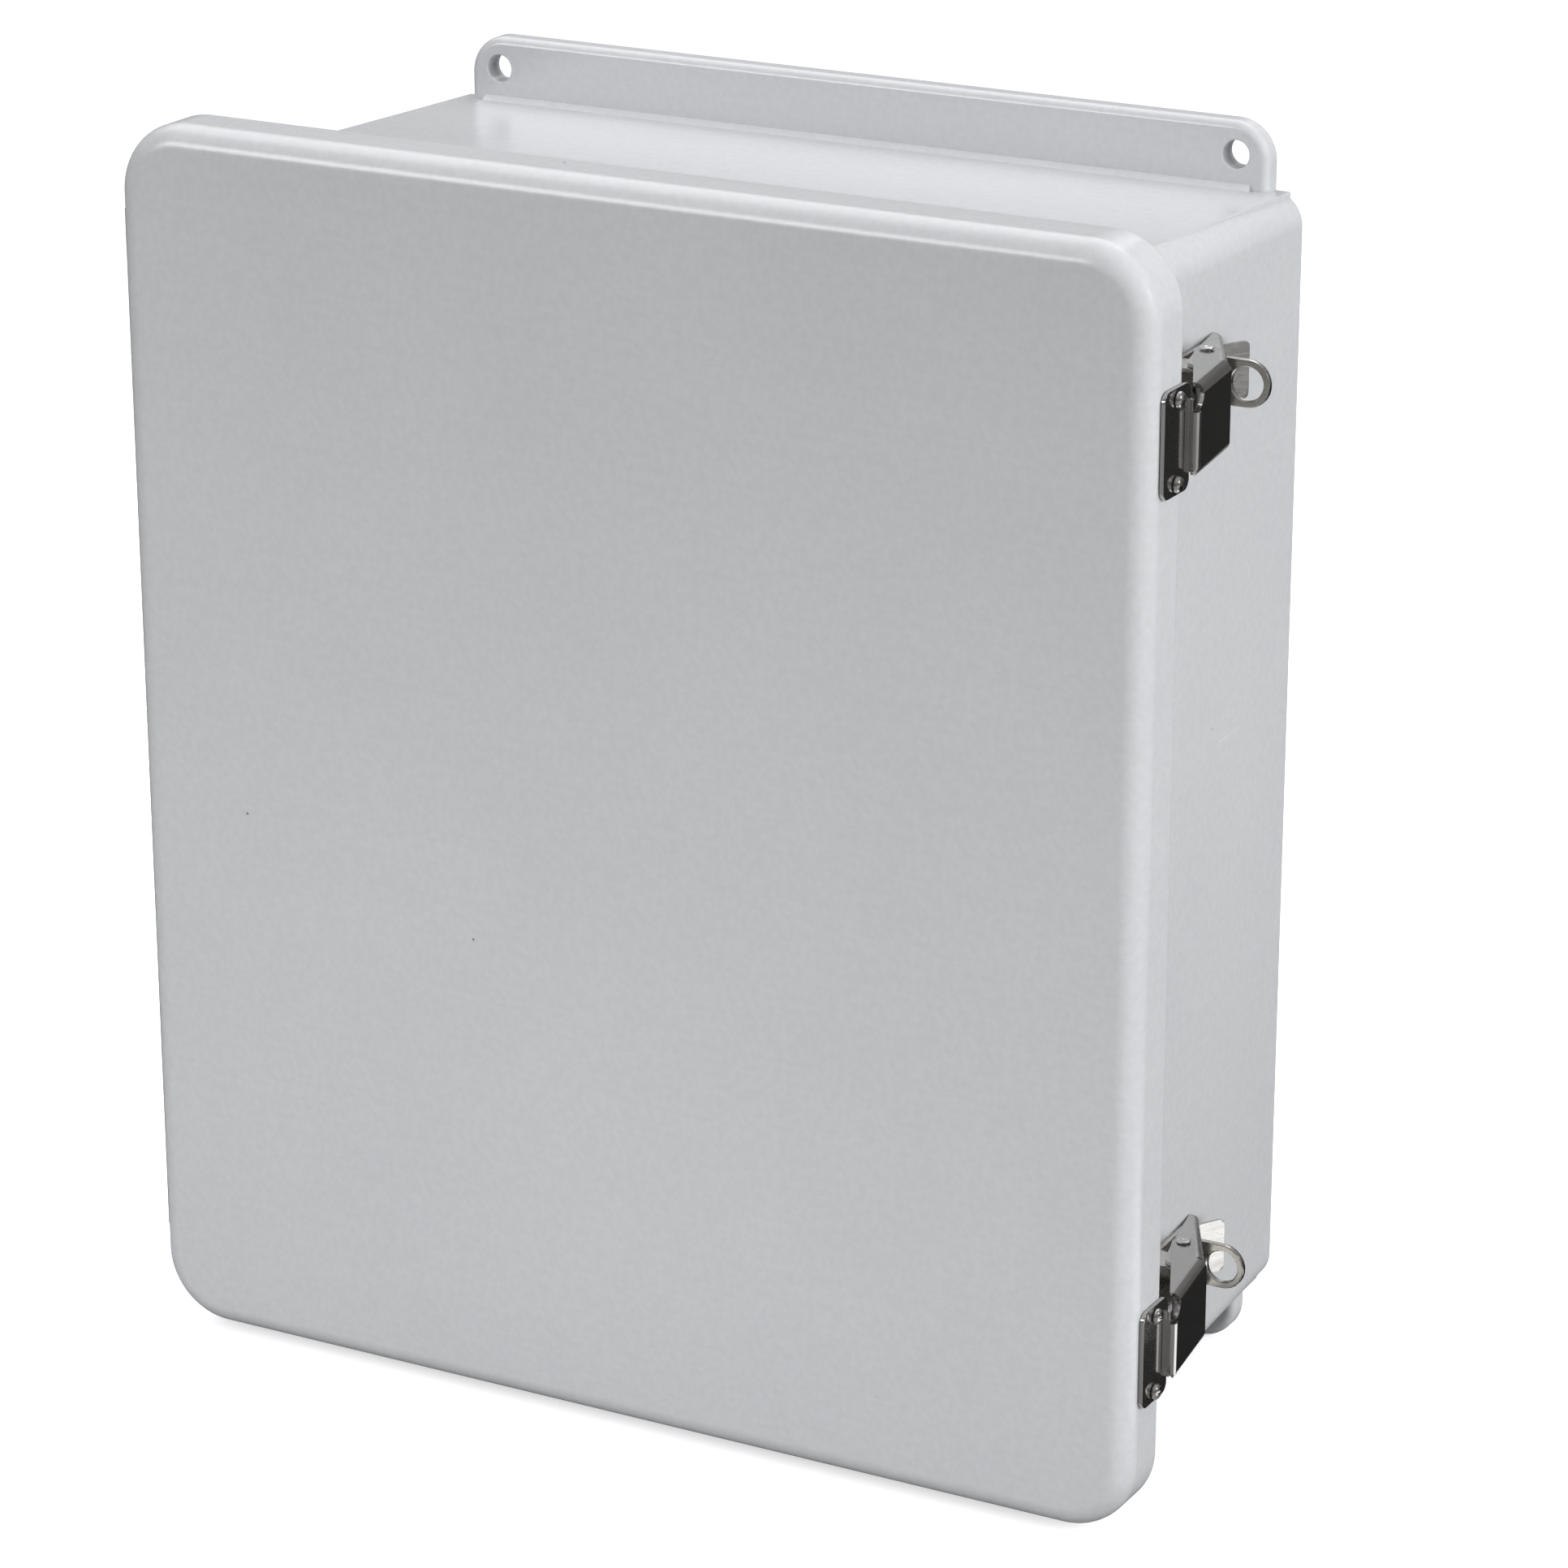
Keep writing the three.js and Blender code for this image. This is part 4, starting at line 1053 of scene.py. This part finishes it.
# ---- camera ----
camera_data = bpy.data.cameras.new("camera")
camera_data.lens = 124.863
camera_data.sensor_width = 36
camera_data.shift_x = -0.0574
camera_data.shift_y = 0.0540
camera = bpy.data.objects.new("camera", camera_data)
camera.location = (0.7712, -1.4476, 0.5363)
camera.rotation_euler = [math.radians(a) for a in (69.9597, -0.2466, 28.0113)]
scene.collection.objects.link(camera)
scene.camera = camera


# ---- light and floor ----
TARGET = Vector((0, -0.08, 0))
SOFT_WHITE = (1.0, 0.985, 0.99)
PAPER_GLOW = 0.62


def area_light(name, direction, distance, size, radiance, gloss=True, diffuse=True, color=(1, 1, 1), spread=180,
               aim=TARGET):
    """Soft box in a direction from the part, as bright as radiance times plain white.

    A box that only draws highlights has diffuse off, and one that only lights surfaces has gloss off.
    """
    data = bpy.data.lights.new(name, "AREA")
    data.shape = "RECTANGLE"
    data.size, data.size_y = size
    data.energy = radiance * math.pi * size[0] * size[1]
    data.color = color
    data.spread = math.radians(spread)
    light = bpy.data.objects.new(name, data)
    light.location = TARGET + Vector(direction).normalized() * distance
    light.rotation_euler = (Vector(aim) - light.location).to_track_quat("-Z", "Y").to_euler()
    light.visible_camera = False
    light.visible_glossy = gloss
    light.visible_diffuse = diffuse
    scene.collection.objects.link(light)


def stage_plane(name, low, high, z, material):
    """Level sheet that is scenery, not part of the object."""
    mesh = bpy.data.meshes.new(name)
    corners = [(low[0], low[1], z), (high[0], low[1], z), (high[0], high[1], z), (low[0], high[1], z)]
    mesh.from_pydata(corners, [], [(0, 1, 2, 3)])
    mesh.materials.append(material)
    obj = bpy.data.objects.new(name, mesh)
    scene.collection.objects.link(obj)
    return obj


def build_world():
    """White backdrop for the camera; what lights the part is a sky that is dark low down and bright overhead."""
    world = bpy.data.worlds.new("world")
    scene.world = world
    world.use_nodes = True
    tree = world.node_tree

    def ramp(value, **limits):
        node = tree.nodes.new("ShaderNodeMapRange")
        tree.links.new(value, node.inputs["Value"])
        for key, limit in limits.items():
            socket = node.inputs[key.replace("_", " ").title()]
            if isinstance(limit, bpy.types.NodeSocket):
                tree.links.new(limit, socket)
            else:
                socket.default_value = limit
        return node.outputs[0]

    direction = tree.nodes.new("ShaderNodeSeparateXYZ")
    tree.links.new(tree.nodes.new("ShaderNodeTexCoord").outputs["Generated"], direction.inputs[0])
    height = ramp(direction.outputs["Z"], from_min=SKY["low"], from_max=SKY["high"],
                  to_min=SKY["dark"], to_max=SKY["bright"])
    camera_ray = tree.nodes.new("ShaderNodeLightPath").outputs["Is Camera Ray"]
    sky = tree.nodes["Background"]
    sky.inputs["Color"].default_value = (1, 1, 1, 1)
    tree.links.new(ramp(camera_ray, to_min=height, to_max=1.0), sky.inputs["Strength"])


def paper_material(name="paper_white", glow=PAPER_GLOW):
    """White paper on a lit table, so shadows on it stay faint."""
    paper = Nodes(name)
    tone = paper.blend(paper.noise(3, 2), (0.93, 0.93, 0.93), (0.95, 0.95, 0.95))
    paper.feed("Base Color", tone)
    paper.feed("Emission Color", tone)
    paper.set(roughness=0.9, emission_strength=glow)
    return paper.material


def matt_material(name, low, high):
    matt = Nodes(name)
    matt.feed("Base Color", matt.blend(matt.noise(8, 2), (low, low, low), (high, high, high)))
    matt.set(roughness=1.0, specular_ior_level=0.0)
    return matt.material


SKY = dict(low=0.20, high=0.90, dark=0.12, bright=0.4)  # radiance against the sine of the elevation
FLOOR_REACH = 9
FLOOR_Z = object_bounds()[0][2] - 0.0006
LAYER = 0.0003

area_light("top_box", (-0.35, 0.40, 0.87), 1.6, (2.2, 1.2), 1.7, color=SOFT_WHITE)
area_light("top_fill", (0.0, 0.0, 1.0), 1.5, (1.2, 1.2), 1.6, gloss=False, color=SOFT_WHITE)
area_light("front_box", (-0.91, -1.44, 0.52), 1.92, (0.9, 0.5), 8.0, diffuse=False)
area_light("front_fill", (-0.45, -1.0, 0.60), 1.8, (1.2, 1.0), 3.2, gloss=False)
area_light("low_fill", (-0.05, -1.0, -0.17), 0.8, (0.9, 0.12), 1.35, gloss=False, spread=70, aim=(0, -0.15, -0.15))
area_light("right_fill", (0.97, -0.08, 0.25), 2.0, (1.8, 1.6), 4.5, gloss=False)
area_light("right_box", (0.88, 0.05, 0.42), 1.6, (0.3, 0.3), 6.0)
build_world()
scene.view_settings.view_transform = "Standard"

# The paper is seen by the camera alone. What lights the part and shows in its gloss is a grey table under the
# paper, with a black flag on it behind and to the right for the polished latches.
REACH = (FLOOR_REACH, FLOOR_REACH)
BACK = (-FLOOR_REACH, -FLOOR_REACH)
floor = stage_plane("floor", BACK, REACH, FLOOR_Z, paper_material())
floor.visible_diffuse = False
floor.visible_glossy = False
flag = stage_plane("flag", (0.16, -0.10), (1.25, 2.0), FLOOR_Z - LAYER, matt_material("flag_black", 0.004, 0.008))
flag.visible_camera = False
flag.visible_diffuse = False
# white card that only the finger tab of the lower latch reflects
card = stage_plane("card", (0.245, -0.16), (0.45, 0.0), FLOOR_Z - 0.5 * LAYER, paper_material("card_white", 1.15))
card.visible_camera = False
card.visible_diffuse = False
card.visible_shadow = False
table = stage_plane("table", BACK, REACH, FLOOR_Z - 2 * LAYER, matt_material("table_grey", 0.40, 0.44))
table.visible_camera = False
